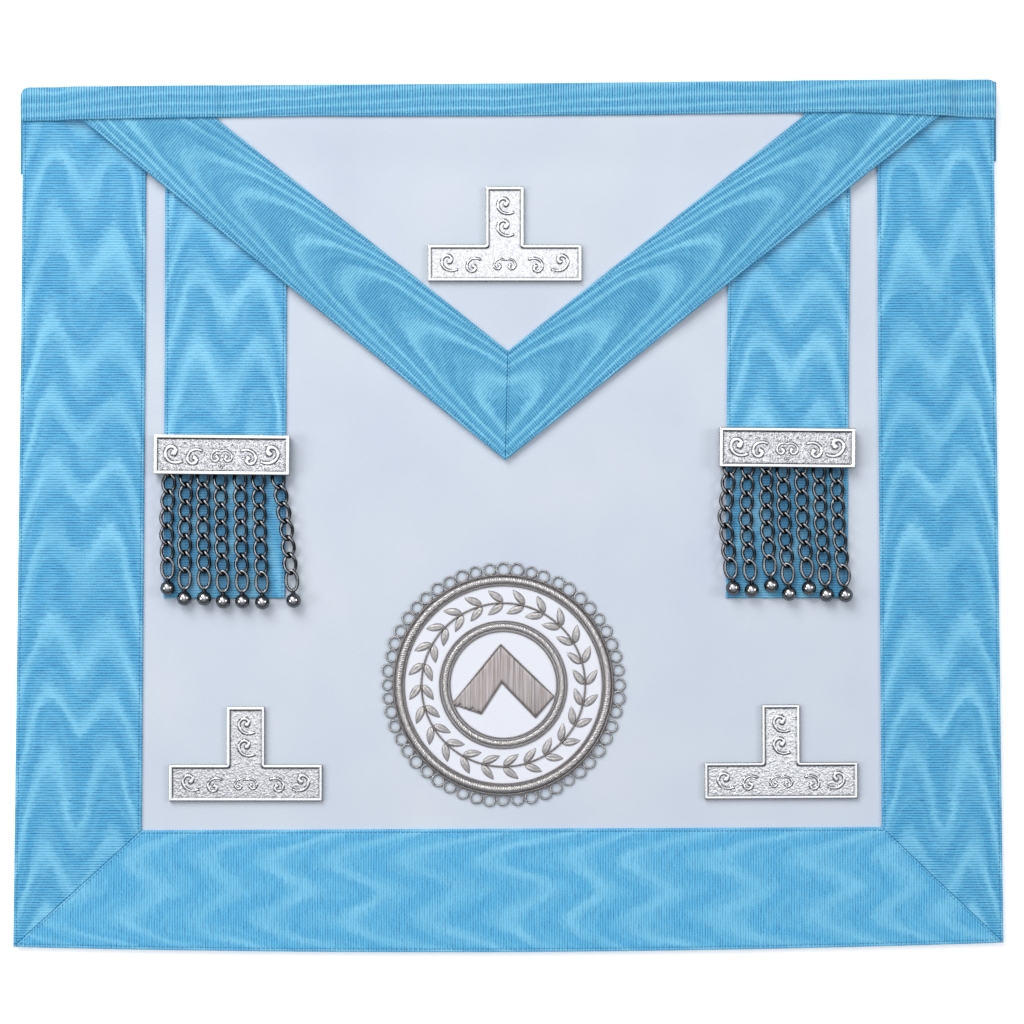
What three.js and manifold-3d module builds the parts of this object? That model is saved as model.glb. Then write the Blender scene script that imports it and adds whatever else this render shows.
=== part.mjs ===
// A ceremonial craft apron, lying flat: a white leather panel with a border of watered ribbon, a pointed
// flap, two tassels of curb chain, three cast levels and an embroidered badge.
// Millimetres. X runs across the apron, Y up it towards the waist, Z up from the floor.
// The origin is on the floor under the middle of the apron.
import * as THREE from 'three';
import { mergeVertices } from 'three/addons/utils/BufferGeometryUtils.js';
import Module from 'manifold-3d';

const wasm = await Module();
wasm.setup();

// Panel
const apronWidth = 408.3;
const apronHeight = 359.4;
const sideTaper = 4.6;
const hemBow = 3.0;
const hemRise = 1.8;
const topRise = 3.4;
const leatherThickness = 2.0;
const ribbonOverhang = 0.5;

// Ribbons
const ribbonThickness = 1.0;
const borderWidth = 51.15;
const borderInnerTaper = 2.8;
const fieldShift = 1.35;
const hemRibbonWidth = 50.8;
const layerGap = 0.2;
const seamGap = 0.3;

// Flap, measured along the lower edge of the top band
const flapHalfWidth = 177.2;
const flapDepth = 141.2;
const flapThickness = 1.5;
const flapRibbonAlongBand = 56.0;
const flapMitre = 45.0;
const flapPointOffset = -1.2;
const flapMitreLean = 1.0;
const flapInset = 0.6;
const drapeInnerX = 60.0;
const drapeOuterX = 75.0;

// Top band
const bandWidth = 13.8;
const bandThickness = 1.0;
const bandBackLeg = 11.0;
const bandCorner = 2.4;
const bandStep = 2.5;
const bandOverhang = 0.6;

// Belt
const beltWidth = 33.0;
const beltThickness = 1.5;
const beltDrop = 17.8;
const beltRise = 5.4;
const beltEndPastSide = 1.6;
const claspLength = 44.0;
const claspWidth = 27.0;
const claspCorner = 6.0;
const liftRun = 5.0;

// Tassels
const tasselRibbonWidth = 50.2;
const tasselRibbonX = 115.9;
const tasselRibbonLength = 198.0;
const tasselRibbonSplay = 1.2;
const tasselBarDrop = 137.6;
const barLength = 55.6;
const barWidth = 16.2;
const barHeight = 4.9;
const barWall = 1.1;
const barFace = 1.2;
const barRim = 1.6;
const barRecess = 0.6;

// Chains
const linkPitch = 7.0;
const linkWidth = 6.3;
const linkWire = 1.45;
const linkBite = 0.32;
const linkSides = 10;
const wireSides = 5;
const chainThickness = 3.3;
const chainTubeSides = 8;
const linksPerChain = 7;
const linkedChains = 5;
const ballDiameter = 6.0;
const stemDiameter = 1.1;

// Levels
const levelWidth = 63.0;
const levelHeight = 38.7;
const levelLimb = 14.9;
const levelUpright = 15.5;
const levelThickness = 2.0;
const levelRim = 1.4;
const levelRecess = 0.7;
const levelInset = 42.3;
const levelAboveHem = 11.95;
const levelTopX = -1.5;
const levelAbovePoint = 28.5;

// Scrolls: a tail's distance from its eye is a share of the field's width, and the rest are shares of that
const scrollRelief = 0.45;
const scrollShare = 0.41;
const scrollStroke = 0.22;
const scrollTaper = 0.3;
const scrollEye = 0.16;
const scrollFrom = -60;
const scrollTo = 310;

// Badge
const badgeRadius = 50.3;
const badgeX = -2.1;
const badgeAboveHem = 59.4;
const badgeGroundRadius = 44.7;
const badgeGroundThickness = 1.2;
const badgeEdgeThickness = 1.6;
const badgeLoops = 52;
const badgeLoopDepth = 1.5;
const outerRingRadius = 43.05;
const outerRingWidth = 3.1;
const innerRingRadius = 24.15;
const innerRingWidth = 2.7;
const squareReach = 20.9;
const squareThickness = 1.2;
const ringSides = 48;
const innerRingSides = 30;

// How the tassel bars lie: off their ribbons' middle and below the band, as shares of tasselRibbonX and
// tasselBarDrop, and turned by a few tenths of a degree
const tassels = [
  { side: 'left', hand: -1, shift: -0.0155, drop: 1.011, turn: -0.5 },
  { side: 'right', hand: 1, shift: -0.0121, drop: 0.989, turn: -0.5 },
];

// How the lower levels lie: in from the side ribbons, as a share of levelInset, and turned
const lowerLevels = [
  { side: 'left', hand: -1, inset: 1.019, turn: 0 },
  { side: 'right', hand: 1, inset: 0.981, turn: 0.3 },
];

// Chain routes from the bar down: X beside the bar's middle at the bar, half way and at the ball,
// and how far the ball's middle hangs below the bar's
const chainRoutes = {
  left: [
    { start: -21.2, middle: -22.9, end: -22.3, drop: 54.7 },
    { start: -14.6, middle: -15.4, end: -15.5, drop: 58.9 },
    { start: -7.9, middle: -7.9, end: -7.3, drop: 58.9 },
    { start: -1.0, middle: -0.5, end: 0.5, drop: 60.1 },
    { start: 7.2, middle: 7.6, end: 8.4, drop: 60.1 },
    { start: 14.7, middle: 15.4, end: 16.6, drop: 60.5 },
    { start: 21.4, middle: 26.4, end: 29.4, drop: 59.8 },
  ],
  right: [
    { start: -22.7, middle: -25.4, end: -22.1, drop: 57.7 },
    { start: -15.7, middle: -16.8, end: -14.5, drop: 58.6 },
    { start: -8.5, middle: -8.3, end: -6.5, drop: 56.6 },
    { start: -1.9, middle: -1.0, end: 0.9, drop: 60.0 },
    { start: 5.7, middle: 6.4, end: 9.0, drop: 57.7 },
    { start: 13.0, middle: 13.9, end: 16.3, drop: 60.4 },
    { start: 20.2, middle: 21.1, end: 24.1, drop: 60.6 },
  ],
};

// How the band's front leg widens, as shares of the half width and of the band's width
const bandWidths = [
  { x: -1.0, width: 1.04 },
  { x: -0.4, width: 0.97 },
  { x: 0.0, width: 1.0 },
  { x: 0.69, width: 1.0 },
  { x: 1.0, width: 1.2 },
];

// Scrolls of a bar and of a level's foot: the eye's place as shares of the length and width of the field
// between the rims, the size beside the largest, mirroring across and upright, and a turn in degrees
const fieldScrolls = [
  { x: -0.38, y: 0.1, size: 1, hand: 1, flip: 1, turn: 0 },
  { x: -0.215, y: -0.15, size: 0.87, hand: 1, flip: -1, turn: 0 },
  { x: -0.042, y: -0.1, size: 0.66, hand: -1, flip: 1, turn: 180 },
  { x: 0.042, y: -0.1, size: 0.66, hand: 1, flip: 1, turn: 180 },
  { x: 0.215, y: -0.15, size: 0.87, hand: -1, flip: -1, turn: 0 },
  { x: 0.38, y: 0.1, size: 1, hand: -1, flip: 1, turn: 0 },
];
const uprightScrolls = [
  { y: 0.36, size: 1, hand: 1, flip: 1, turn: 0 },
  { y: 0.76, size: 1, hand: 1, flip: 1, turn: 0 },
];

// Corners of the badge's square from its badge's middle, as shares of squareReach
const squareCorners = [
  { x: -0.053, y: 0.794 },
  { x: -1.0, y: -0.373 },
  { x: -0.435, y: -0.574 },
  { x: -0.033, y: 0.048 },
  { x: 0.636, y: -0.646 },
  { x: 0.995, y: -0.225 },
];

const degrees = Math.PI / 180;
const halfWidth = apronWidth / 2;

// Heights of the layers
const panelTop = leatherThickness;
const ribbonFloor = panelTop + layerGap;
const ribbonTop = ribbonFloor + ribbonThickness;
const flapLowFloor = panelTop + layerGap;
const flapHighFloor = ribbonTop + layerGap;
const trimFloor = ribbonTop + layerGap;

// Edges of the apron
const sideX = (y) => halfWidth - sideTaper * (y / apronHeight + 0.5);
const innerX = (y) => halfWidth - borderWidth - borderInnerTaper * (y / apronHeight + 0.5);
const hemY = (x) => -apronHeight / 2 + hemBow * (x / halfWidth) ** 2 + (hemRise / 2) * (x / halfWidth);
const hemInnerY = (x) => -apronHeight / 2 + hemRibbonWidth + (hemRise / 2) * (x / halfWidth);
const topY = (x) => apronHeight / 2 - (topRise / 2) * (1 - x / halfWidth);
const underBandY = (x) => topY(x) - bandThickness - layerGap;

// Value at x on a line of straight stretches through the knots [x, value]
function along(knots, x) {
  if (x <= knots[0][0]) return knots[0][1];
  for (let i = 1; i < knots.length; i++) {
    const [x0, v0] = knots[i - 1];
    const [x1, v1] = knots[i];
    if (x <= x1) return v0 + ((v1 - v0) * (x - x0)) / (x1 - x0);
  }
  return knots[knots.length - 1][1];
}

const bandWidthAt = (x) => bandWidth * along(bandWidths.map((row) => [row.x, row.width]), x / halfWidth);
const bandEdgeY = (x) => topY(x) - bandWidthAt(x);

// The band's lower edge on the middle line is where the flap's slopes and the tassel ribbons start
const flapTopY = bandEdgeY(0);
const flapPoint = [flapPointOffset, flapTopY - flapDepth];
const flapInnerPoint = [flapPointOffset + flapMitreLean, flapPoint[1] + flapMitre];

// What lies over the belt and the band's back leg is lifted by them
const beltY = (x) => topY(0) - beltDrop + (beltRise / 2) * (x / halfWidth);
const beltLowY = beltY(-halfWidth) - beltWidth / 2;
const backLegLowY = topY(-halfWidth) - bandBackLeg;
const beltLift = beltThickness + layerGap;
const bandLift = beltLift + bandThickness + layerGap;
const liftKnots = [
  [beltLowY - liftRun, 0],
  [beltLowY, beltLift],
  [backLegLowY - liftRun, beltLift],
  [backLegLowY, bandLift],
];
const lift = (y) => along(liftKnots, y);

// The flap lies on the panel in the middle and on the upright ribbons beside it
const drapeKnots = [
  [-drapeOuterX, flapHighFloor],
  [-drapeInnerX, flapLowFloor],
  [drapeInnerX, flapLowFloor],
  [drapeOuterX, flapHighFloor],
];
const drape = (x) => along(drapeKnots, x);

// Joining and cutting
function solidOf(geometry) {
  const bare = geometry.clone();
  bare.deleteAttribute('normal');
  bare.deleteAttribute('uv');
  const merged = mergeVertices(bare, 1e-4);
  const vertProperties = merged.attributes.position.array;
  const triVerts = new Uint32Array(merged.index.array);
  return new wasm.Manifold(new wasm.Mesh({ numProp: 3, vertProperties, triVerts }));
}

function geometryOf(solid) {
  const mesh = solid.getMesh();
  const geometry = new THREE.BufferGeometry();
  geometry.setAttribute('position', new THREE.BufferAttribute(Float32Array.from(mesh.vertProperties), 3));
  geometry.setIndex(new THREE.BufferAttribute(Uint32Array.from(mesh.triVerts), 1));
  geometry.computeVertexNormals();
  return geometry;
}

const joined = (solids) => solids.reduce((whole, solid) => whole.add(solid));

// A prism over an outline of [x, y] points, from one height to another
function prism(outline, bottom, top, holes = []) {
  const shape = new THREE.Shape(outline.map(([x, y]) => new THREE.Vector2(x, y)));
  shape.holes = holes.map((hole) => new THREE.Path(hole.map(([x, y]) => new THREE.Vector2(x, y))));
  const geometry = new THREE.ExtrudeGeometry(shape, { depth: top - bottom, bevelEnabled: false });
  geometry.translate(0, 0, bottom);
  return solidOf(geometry);
}

// A closed skin round loops of points: each loop is joined to the next, and the two ends are capped
// or, for a ring, joined to each other
function skin(loops, closed = false) {
  const count = loops[0].length;
  const points = loops.flat();
  const faces = [];
  const steps = closed ? loops.length : loops.length - 1;
  for (let i = 0; i < steps; i++) {
    const near = i * count;
    const far = ((i + 1) % loops.length) * count;
    for (let j = 0; j < count; j++) {
      const k = (j + 1) % count;
      faces.push(near + j, near + k, far + k, near + j, far + k, far + j);
    }
  }
  if (!closed) {
    const flat = loops[0].map((p) => new THREE.Vector2(p.y, p.z));
    const last = (loops.length - 1) * count;
    for (const [a, b, c] of THREE.ShapeUtils.triangulateShape(flat, [])) {
      faces.push(a, c, b, last + a, last + b, last + c);
    }
  }
  const geometry = new THREE.BufferGeometry().setFromPoints(points);
  geometry.setIndex(faces);
  return solidOf(geometry);
}

// A sheet: the outline's prism cut from a slab that rises over what lies under it
function sheet(outline, floorAt, thickness, xKnots = []) {
  const xs = [-apronWidth, ...xKnots.map(([x]) => x), apronWidth];
  const ys = [-apronHeight, ...liftKnots.map(([y]) => y), apronHeight];
  const points = [];
  for (const rise of [0, thickness]) {
    for (const y of ys) {
      for (const x of xs) points.push(new THREE.Vector3(x, y, floorAt(x, y) + rise));
    }
  }
  const across = xs.length;
  const layer = across * ys.length;
  const faces = [];
  for (let j = 0; j + 1 < ys.length; j++) {
    for (let i = 0; i + 1 < across; i++) {
      const a = j * across + i;
      const b = a + 1;
      const c = a + across + 1;
      const d = a + across;
      faces.push(a, c, b, a, d, c);
      faces.push(layer + a, layer + b, layer + c, layer + a, layer + c, layer + d);
    }
  }
  const rim = [];
  for (let i = 0; i < across; i++) rim.push(i);
  for (let j = 1; j < ys.length; j++) rim.push(j * across + across - 1);
  for (let i = across - 2; i >= 0; i--) rim.push((ys.length - 1) * across + i);
  for (let j = ys.length - 2; j > 0; j--) rim.push(j * across);
  rim.forEach((a, n) => {
    const b = rim[(n + 1) % rim.length];
    faces.push(a, b, layer + b, a, layer + b, layer + a);
  });
  const geometry = new THREE.BufferGeometry().setFromPoints(points);
  geometry.setIndex(faces);
  return solidOf(geometry).intersect(prism(outline, -1, apronHeight / 4));
}

// A round tube along a closed loop of points that lies nearly level
function ring(points, radius, sides) {
  const up = new THREE.Vector3(0, 0, 1);
  const loops = points.map((point, i) => {
    const next = points[(i + 1) % points.length];
    const previous = points[(i + points.length - 1) % points.length];
    const tangent = next.clone().sub(previous).normalize();
    const out = new THREE.Vector3().crossVectors(tangent, up).normalize();
    const over = new THREE.Vector3().crossVectors(out, tangent).normalize();
    return Array.from({ length: sides }, (_, k) => {
      const angle = (k / sides) * 2 * Math.PI;
      const reach = out.clone().multiplyScalar(Math.cos(angle) * radius);
      return point.clone().add(reach).addScaledVector(over, -Math.sin(angle) * radius);
    });
  });
  return skin(loops, true);
}

// A ring of half round section, flat below
function halfRoundRing(radius, width, floor, sides) {
  const section = 3;
  const profile = [];
  for (let k = 0; k <= section; k++) {
    const angle = (k / section) * Math.PI;
    profile.push(new THREE.Vector2(radius + (Math.cos(angle) * width) / 2, (Math.sin(angle) * width) / 2));
  }
  profile.push(profile[0].clone());
  const geometry = new THREE.LatheGeometry(profile, sides);
  geometry.rotateX(Math.PI / 2);
  geometry.translate(0, 0, floor);
  return solidOf(geometry);
}

// Points on the hem from the left to the right, offset up by an inset
function hemPoints(from, to, inset, steps = 12) {
  return Array.from({ length: steps + 1 }, (_, i) => {
    const x = from + ((to - from) * i) / steps;
    return [x, hemY(x) + inset];
  });
}

// Panel and border
function panel() {
  const inset = ribbonOverhang;
  const foot = sideX(-apronHeight / 2) - inset;
  const top = sideX(apronHeight / 2) - inset;
  const outline = [...hemPoints(-foot, foot, inset), [top, underBandY(top)], [-top, underBandY(-top)]];
  return sheet(outline, (x, y) => lift(y), leatherThickness);
}

const borderFloor = (x, y) => lift(y) + ribbonFloor;
const outerCorner = (hand) => [hand * sideX(hemY(hand * halfWidth)), hemY(hand * halfWidth)];

function innerCorner(hand) {
  const x = hand * innerX(-apronHeight / 2 + hemRibbonWidth) + fieldShift;
  return [x, hemInnerY(x)];
}

function sideRibbon(hand) {
  const outerTop = hand * sideX(apronHeight / 2);
  const innerTop = hand * innerX(apronHeight / 2) + fieldShift;
  const outline = [
    outerCorner(hand),
    [outerTop, underBandY(outerTop)],
    [innerTop, underBandY(innerTop)],
    innerCorner(hand),
  ];
  return sheet(hand > 0 ? outline : outline.reverse(), borderFloor, ribbonThickness);
}

function hemRibbon() {
  const mitreGap = seamGap * Math.SQRT2;
  const outerLeft = outerCorner(-1)[0] + mitreGap;
  const outerRight = outerCorner(1)[0] - mitreGap;
  const [innerLeft, innerLeftY] = innerCorner(-1);
  const [innerRight, innerRightY] = innerCorner(1);
  const inner = [[innerRight - mitreGap, innerRightY], [innerLeft + mitreGap, innerLeftY]];
  return sheet([...hemPoints(outerLeft, outerRight, 0), ...inner], borderFloor, ribbonThickness);
}

// Tassel ribbons run from under the flap down to the balls
function tasselRibbon(hand) {
  const middle = hand * tasselRibbonX;
  const half = tasselRibbonWidth / 2;
  const end = flapTopY - tasselRibbonLength;
  const outline = [
    [middle - half - tasselRibbonSplay, end],
    [middle + half - tasselRibbonSplay, end],
    [middle + half, underBandY(middle)],
    [middle - half, underBandY(middle)],
  ];
  return sheet(outline, borderFloor, ribbonThickness);
}

// Flap: the point and the shoulders under the band
const flapFloor = (x, y) => lift(y) + drape(x);
const flapRibbonFloor = (x, y) => flapFloor(x, y) + flapThickness + layerGap;

function flap() {
  const shoulder = flapHalfWidth - flapInset;
  const outline = [
    [flapPoint[0], flapPoint[1] + flapInset],
    [shoulder, flapTopY],
    [shoulder, underBandY(shoulder)],
    [-shoulder, underBandY(-shoulder)],
    [-shoulder, flapTopY],
  ];
  return sheet(outline, flapFloor, flapThickness, drapeKnots);
}

function flapRibbon(hand) {
  const outer = hand * flapHalfWidth;
  const inner = hand * (flapHalfWidth - flapRibbonAlongBand);
  const seam = (hand * seamGap) / 2;
  const outline = [
    [flapPoint[0] + seam, flapPoint[1]],
    [outer, flapTopY],
    [outer, underBandY(outer)],
    [inner, underBandY(inner)],
    [inner, flapTopY],
    [flapInnerPoint[0] + seam, flapInnerPoint[1]],
  ];
  return sheet(hand > 0 ? outline : outline.reverse(), flapRibbonFloor, ribbonThickness, drapeKnots);
}

// The band is folded over the top edge: front leg, fold and back leg, carried across in sections
function topBand() {
  const end = sideX(apronHeight / 2) + bandOverhang;
  const onBorder = ribbonTop + layerGap;
  const onFlapLow = flapLowFloor + flapThickness + layerGap;
  const onFlapHigh = flapHighFloor + flapThickness + layerGap;
  const onFlapRibbon = onFlapHigh + ribbonThickness + layerGap;
  const inner = flapHalfWidth - flapRibbonAlongBand;
  const half = [
    [drapeInnerX, onFlapLow],
    [drapeOuterX, onFlapHigh],
    [inner - bandStep, onFlapHigh],
    [inner - seamGap, onFlapRibbon],
    [flapHalfWidth + seamGap, onFlapRibbon],
    [flapHalfWidth + bandStep, onBorder],
    [end - bandCorner, onBorder],
    [end, onBorder],
  ];
  const rise = [...half.map(([x, z]) => [-x, z]).reverse(), ...half];
  const loops = rise.map(([x, height]) => {
    const corner = Math.abs(x) === end ? bandThickness / 2 : 0;
    const top = topY(x) - corner;
    const inside = topY(x) - bandThickness;
    const front = bandEdgeY(x);
    const floor = bandLift + height;
    const roof = floor + bandThickness;
    const back = topY(x) - bandBackLeg + layerGap;
    const bevel = bandThickness / 2;
    const section = [
      [back, beltLift],
      [top - bevel, beltLift],
      [top, beltLift + bevel],
      [top, roof - bevel],
      [top - bevel, roof],
      [front, roof],
      [front, floor],
      [inside, floor],
      [inside, beltLift + bandThickness],
      [back, beltLift + bandThickness],
    ];
    return section.map(([y, z]) => new THREE.Vector3(x, y, z));
  });
  return skin(loops);
}

// Belt, folded flat behind the panel
function beltStrap(hand) {
  const end = hand * (sideX(beltY(0)) + beltEndPastSide);
  const start = hand * (claspLength / 2 + seamGap);
  const corner = (x, side) => [x, beltY(x) + (side * beltWidth) / 2];
  const outline = [corner(start, -1), corner(end, -1), corner(end, 1), corner(start, 1)];
  return prism(hand > 0 ? outline : outline.reverse(), 0, beltThickness);
}

function roundedRectangle(width, height, radius, steps = 3) {
  const points = [];
  const corners = [[1, -1, -90], [1, 1, 0], [-1, 1, 90], [-1, -1, 180]];
  for (const [sx, sy, from] of corners) {
    for (let i = 0; i <= steps; i++) {
      const angle = (from + (90 * i) / steps) * degrees;
      const x = sx * (width / 2 - radius) + Math.cos(angle) * radius;
      const y = sy * (height / 2 - radius) + Math.sin(angle) * radius;
      points.push([x, y]);
    }
  }
  return points;
}

function beltClasp() {
  const outline = roundedRectangle(claspLength, claspWidth, claspCorner);
  return prism(outline, 0, beltThickness).translate([0, beltY(0), 0]);
}

// A raised scroll round its eye: a ridge of even height along a growing spiral, from the eye to its tail
function scroll(width, row, floor) {
  const steps = 5;
  const size = width * scrollShare * row.size;
  const left = [];
  const right = [];
  for (let i = 0; i <= steps; i++) {
    const share = i / steps;
    const angle = (row.turn + scrollFrom + (scrollTo - scrollFrom) * share) * degrees;
    const radius = size * scrollEye ** (1 - share);
    const stroke = (size * scrollStroke * (1 - scrollTaper * share)) / 2;
    const [c, s] = [Math.cos(angle), Math.sin(angle)];
    right.push([row.hand * c * (radius + stroke), row.flip * s * (radius + stroke)]);
    left.push([row.hand * c * (radius - stroke), row.flip * s * (radius - stroke)]);
  }
  const outline = [...right, ...left.reverse()];
  const facing = row.hand * row.flip > 0 ? outline : outline.reverse();
  return prism(facing, floor - layerGap, floor + scrollRelief);
}

// The scrolls of a field: a bar's face or a level's foot
const scrollField = (length, width, floor) =>
  fieldScrolls.map((row) => scroll(width, row, floor).translate([row.x * length, row.y * width, 0]));

const rectangle = (x0, y0, x1, y1) => [[x0, y0], [x1, y0], [x1, y1], [x0, y1]];

// A bar is a shallow tray, open below and along its lower edge, that the chains come out of
function tasselBar() {
  const [a, b] = [barLength / 2, barWidth / 2];
  const face = barHeight - barFace;
  const ground = barHeight - barRecess;
  const body = prism(rectangle(-a, -b, a, b), 0, barHeight);
  const hollow = prism(rectangle(-a + barWall, -b - 1, a - barWall, b - barWall), -1, face);
  const [fieldX, fieldY] = [a - barRim, b - barRim];
  const recess = prism(rectangle(-fieldX, -fieldY, fieldX, fieldY), ground, barHeight + 1);
  return joined([body.subtract(hollow).subtract(recess), ...scrollField(2 * fieldX, 2 * fieldY, ground)]);
}

// A level is a plate in the shape of an upside-down T, with a sunk field inside its rim
function levelOutline(inset) {
  const foot = levelWidth / 2 - inset;
  const post = levelUpright / 2 - inset;
  const shoulder = levelLimb - inset;
  return [
    [-foot, inset],
    [foot, inset],
    [foot, shoulder],
    [post, shoulder],
    [post, levelHeight - inset],
    [-post, levelHeight - inset],
    [-post, shoulder],
    [-foot, shoulder],
  ];
}

function level() {
  const ground = levelThickness - levelRecess;
  const plate = prism(levelOutline(0), 0, levelThickness);
  const recess = prism(levelOutline(levelRim), ground, levelThickness + 1);
  const fieldWidth = levelLimb - 2 * levelRim;
  const foot = scrollField(levelWidth - 2 * levelRim, fieldWidth, ground);
  const uprightLength = levelHeight - levelLimb - levelRim;
  const upright = uprightScrolls.map((row) => {
    const y = levelLimb + row.y * uprightLength;
    return scroll(fieldWidth, row, ground).translate([0, y, 0]);
  });
  const placed = foot.map((ridge) => ridge.translate([0, levelLimb / 2, 0]));
  return joined([plate.subtract(recess), ...placed, ...upright]);
}

// Chains
const linkHalfLength = (linkPitch + linkWire - linkBite) / 2;
const linkHalfWidth = (linkWidth - linkWire) / 2;
const chainMiddle = trimFloor + chainThickness / 2;
const ballMiddle = trimFloor + ballDiameter / 2;

// Points of one curb link: an oval along Y, twisted about its length by a quarter turn in all
function linkPoints() {
  return Array.from({ length: linkSides }, (_, i) => {
    const angle = (i / linkSides) * 2 * Math.PI;
    const alongLink = Math.cos(angle) * linkHalfLength;
    const across = Math.sin(angle) * linkHalfWidth;
    const twist = 45 * degrees * Math.cos(angle);
    return new THREE.Vector3(across * Math.cos(twist), alongLink, across * Math.sin(twist));
  });
}

// The route of a chain: a smooth line through its three places, from the ball up, in the bar's frame
function chainRoute(row) {
  const reach = ballDiameter / 2 + linkHalfLength + linkWire / 2 + layerGap;
  const low = reach - row.drop;
  const high = low + linkPitch * (linksPerChain - 1);
  const knots = [[-row.drop, row.end], [-row.drop / 2, row.middle], [0, row.start]];
  return { low, high, xAt: (y) => along(knots, y) };
}

function chain(row) {
  const route = chainRoute(row);
  const links = Array.from({ length: linksPerChain }, (_, i) => {
    const y = route.low + i * linkPitch;
    const slope = (route.xAt(y + linkPitch / 2) - route.xAt(y - linkPitch / 2)) / linkPitch;
    const lean = -Math.atan(slope) / degrees;
    const link = ring(linkPoints(), linkWire / 2, wireSides);
    return link.rotate([0, 0, lean]).translate([route.xAt(y), y, chainMiddle]);
  });
  return joined(links);
}

function chainTube(row) {
  const route = chainRoute(row);
  const steps = 6;
  const points = Array.from({ length: steps + 1 }, (_, i) => {
    const y = route.low - linkHalfLength + ((route.high - route.low + 2 * linkHalfLength) * i) / steps;
    return new THREE.Vector3(route.xAt(y), y, chainMiddle);
  });
  const section = new THREE.Shape();
  for (let k = 0; k < chainTubeSides; k++) {
    const angle = ((k + 0.5) / chainTubeSides) * 2 * Math.PI;
    const [x, y] = [(Math.cos(angle) * chainThickness) / 2, (Math.sin(angle) * linkWidth) / 2];
    if (k === 0) section.moveTo(x, y);
    else section.lineTo(x, y);
  }
  const path = new THREE.CatmullRomCurve3(points);
  return solidOf(new THREE.ExtrudeGeometry(section, { steps, extrudePath: path, bevelEnabled: false }));
}

// A ball hangs from the last link by a short stem
function ball() {
  const globe = new THREE.SphereGeometry(ballDiameter / 2, 10, 6);
  const stemTop = ballDiameter / 2 + linkWire / 2;
  const stem = new THREE.CylinderGeometry(stemDiameter / 2, stemDiameter / 2, stemTop, 5);
  stem.translate(0, stemTop / 2, 0);
  return solidOf(globe).add(solidOf(stem));
}

// Badge
const circle = (radius, sides) =>
  Array.from({ length: sides }, (_, i) => {
    const angle = (i / sides) * 2 * Math.PI;
    return [Math.cos(angle) * radius, Math.sin(angle) * radius];
  });

// The edge of small loops, as one flat ring with a scalloped rim
function badgeLoopEdge() {
  const perLoop = 2;
  const rim = Array.from({ length: badgeLoops * perLoop }, (_, i) => {
    const angle = (i / (badgeLoops * perLoop)) * 2 * Math.PI;
    const radius = badgeRadius - (i % perLoop === 0 ? badgeLoopDepth : 0);
    return [Math.cos(angle) * radius, Math.sin(angle) * radius];
  });
  const inside = circle(badgeGroundRadius + seamGap, ringSides).reverse();
  return prism(rim, 0, badgeEdgeThickness, [inside]);
}

const badgeDisc = () => prism(circle(badgeGroundRadius, ringSides), 0, badgeGroundThickness);

// A plain square, point up: two arms at nearly a right angle
const badgeSquare = () =>
  prism(squareCorners.map(({ x, y }) => [x * squareReach, y * squareReach]), 0, squareThickness);

// Materials
const finish = (color, roughness, metalness) =>
  new THREE.MeshStandardMaterial({ color, roughness, metalness });
const whiteLeather = finish(0xd6dfec, 0.55, 0);
const blueRibbon = finish(0x66b4de, 0.45, 0);
const blueWebbing = finish(0x5aa6cf, 0.7, 0);
const silver = finish(0xe6e8ee, 0.18, 1);
const steel = finish(0x6c737c, 0.22, 1);
const bullion = finish(0xa9a39c, 0.4, 0.6);
const whiteGround = finish(0xe6e8f0, 0.8, 0);

const apron = new THREE.Group();

function place(name, solid, material, parent = apron) {
  const mesh = new THREE.Mesh(geometryOf(solid), material);
  mesh.name = name;
  parent.add(mesh);
  return mesh;
}

// A frame lying on the panel, turned about its own upright axis
function frameAt(x, y, z, turn = 0) {
  const frame = new THREE.Group();
  frame.position.set(x, y, z);
  frame.rotation.z = turn * degrees;
  apron.add(frame);
  return frame;
}

place('apron_body', panel(), whiteLeather);
place('border_ribbon_left', sideRibbon(-1), blueRibbon);
place('border_ribbon_right', sideRibbon(1), blueRibbon);
place('border_ribbon_hem', hemRibbon(), blueRibbon);
place('flap', flap(), whiteLeather);
place('flap_ribbon_left', flapRibbon(-1), blueRibbon);
place('flap_ribbon_right', flapRibbon(1), blueRibbon);
place('top_band', topBand(), blueRibbon);
place('belt_strap_left', beltStrap(-1), blueWebbing);
place('belt_strap_right', beltStrap(1), blueWebbing);
place('belt_clasp', beltClasp(), steel);

for (const bar of tassels) {
  place(`tassel_ribbon_${bar.side}`, tasselRibbon(bar.hand), blueRibbon);
  const barX = (bar.hand + bar.shift) * tasselRibbonX;
  const barY = flapTopY - bar.drop * tasselBarDrop;
  const barFrame = frameAt(barX, barY, trimFloor, bar.turn);
  place(`tassel_bar_${bar.side}`, tasselBar(), silver, barFrame);
  const tassel = frameAt(barX, barY, 0);
  chainRoutes[bar.side].forEach((row, i) => {
    const make = bar.hand < 0 && i < linkedChains ? chain : chainTube;
    place(`chain_${bar.side}_${i + 1}`, make(row), steel, tassel);
    const bead = place(`ball_${bar.side}_${i + 1}`, ball(), steel, tassel);
    bead.position.set(row.end, -row.drop, ballMiddle);
  });
}

const flapTop = flapLowFloor + flapThickness;
const topLevel = frameAt(levelTopX, flapInnerPoint[1] + levelAbovePoint, flapTop + layerGap);
place('level_top', level(), silver, topLevel);
const fieldSide = innerCorner(1)[0] - fieldShift;
for (const row of lowerLevels) {
  const x = row.hand * (fieldSide - levelInset * row.inset) + fieldShift;
  const frame = frameAt(x, hemInnerY(x) + levelAboveHem, ribbonFloor, row.turn);
  place(`level_${row.side}`, level(), silver, frame);
}

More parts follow.
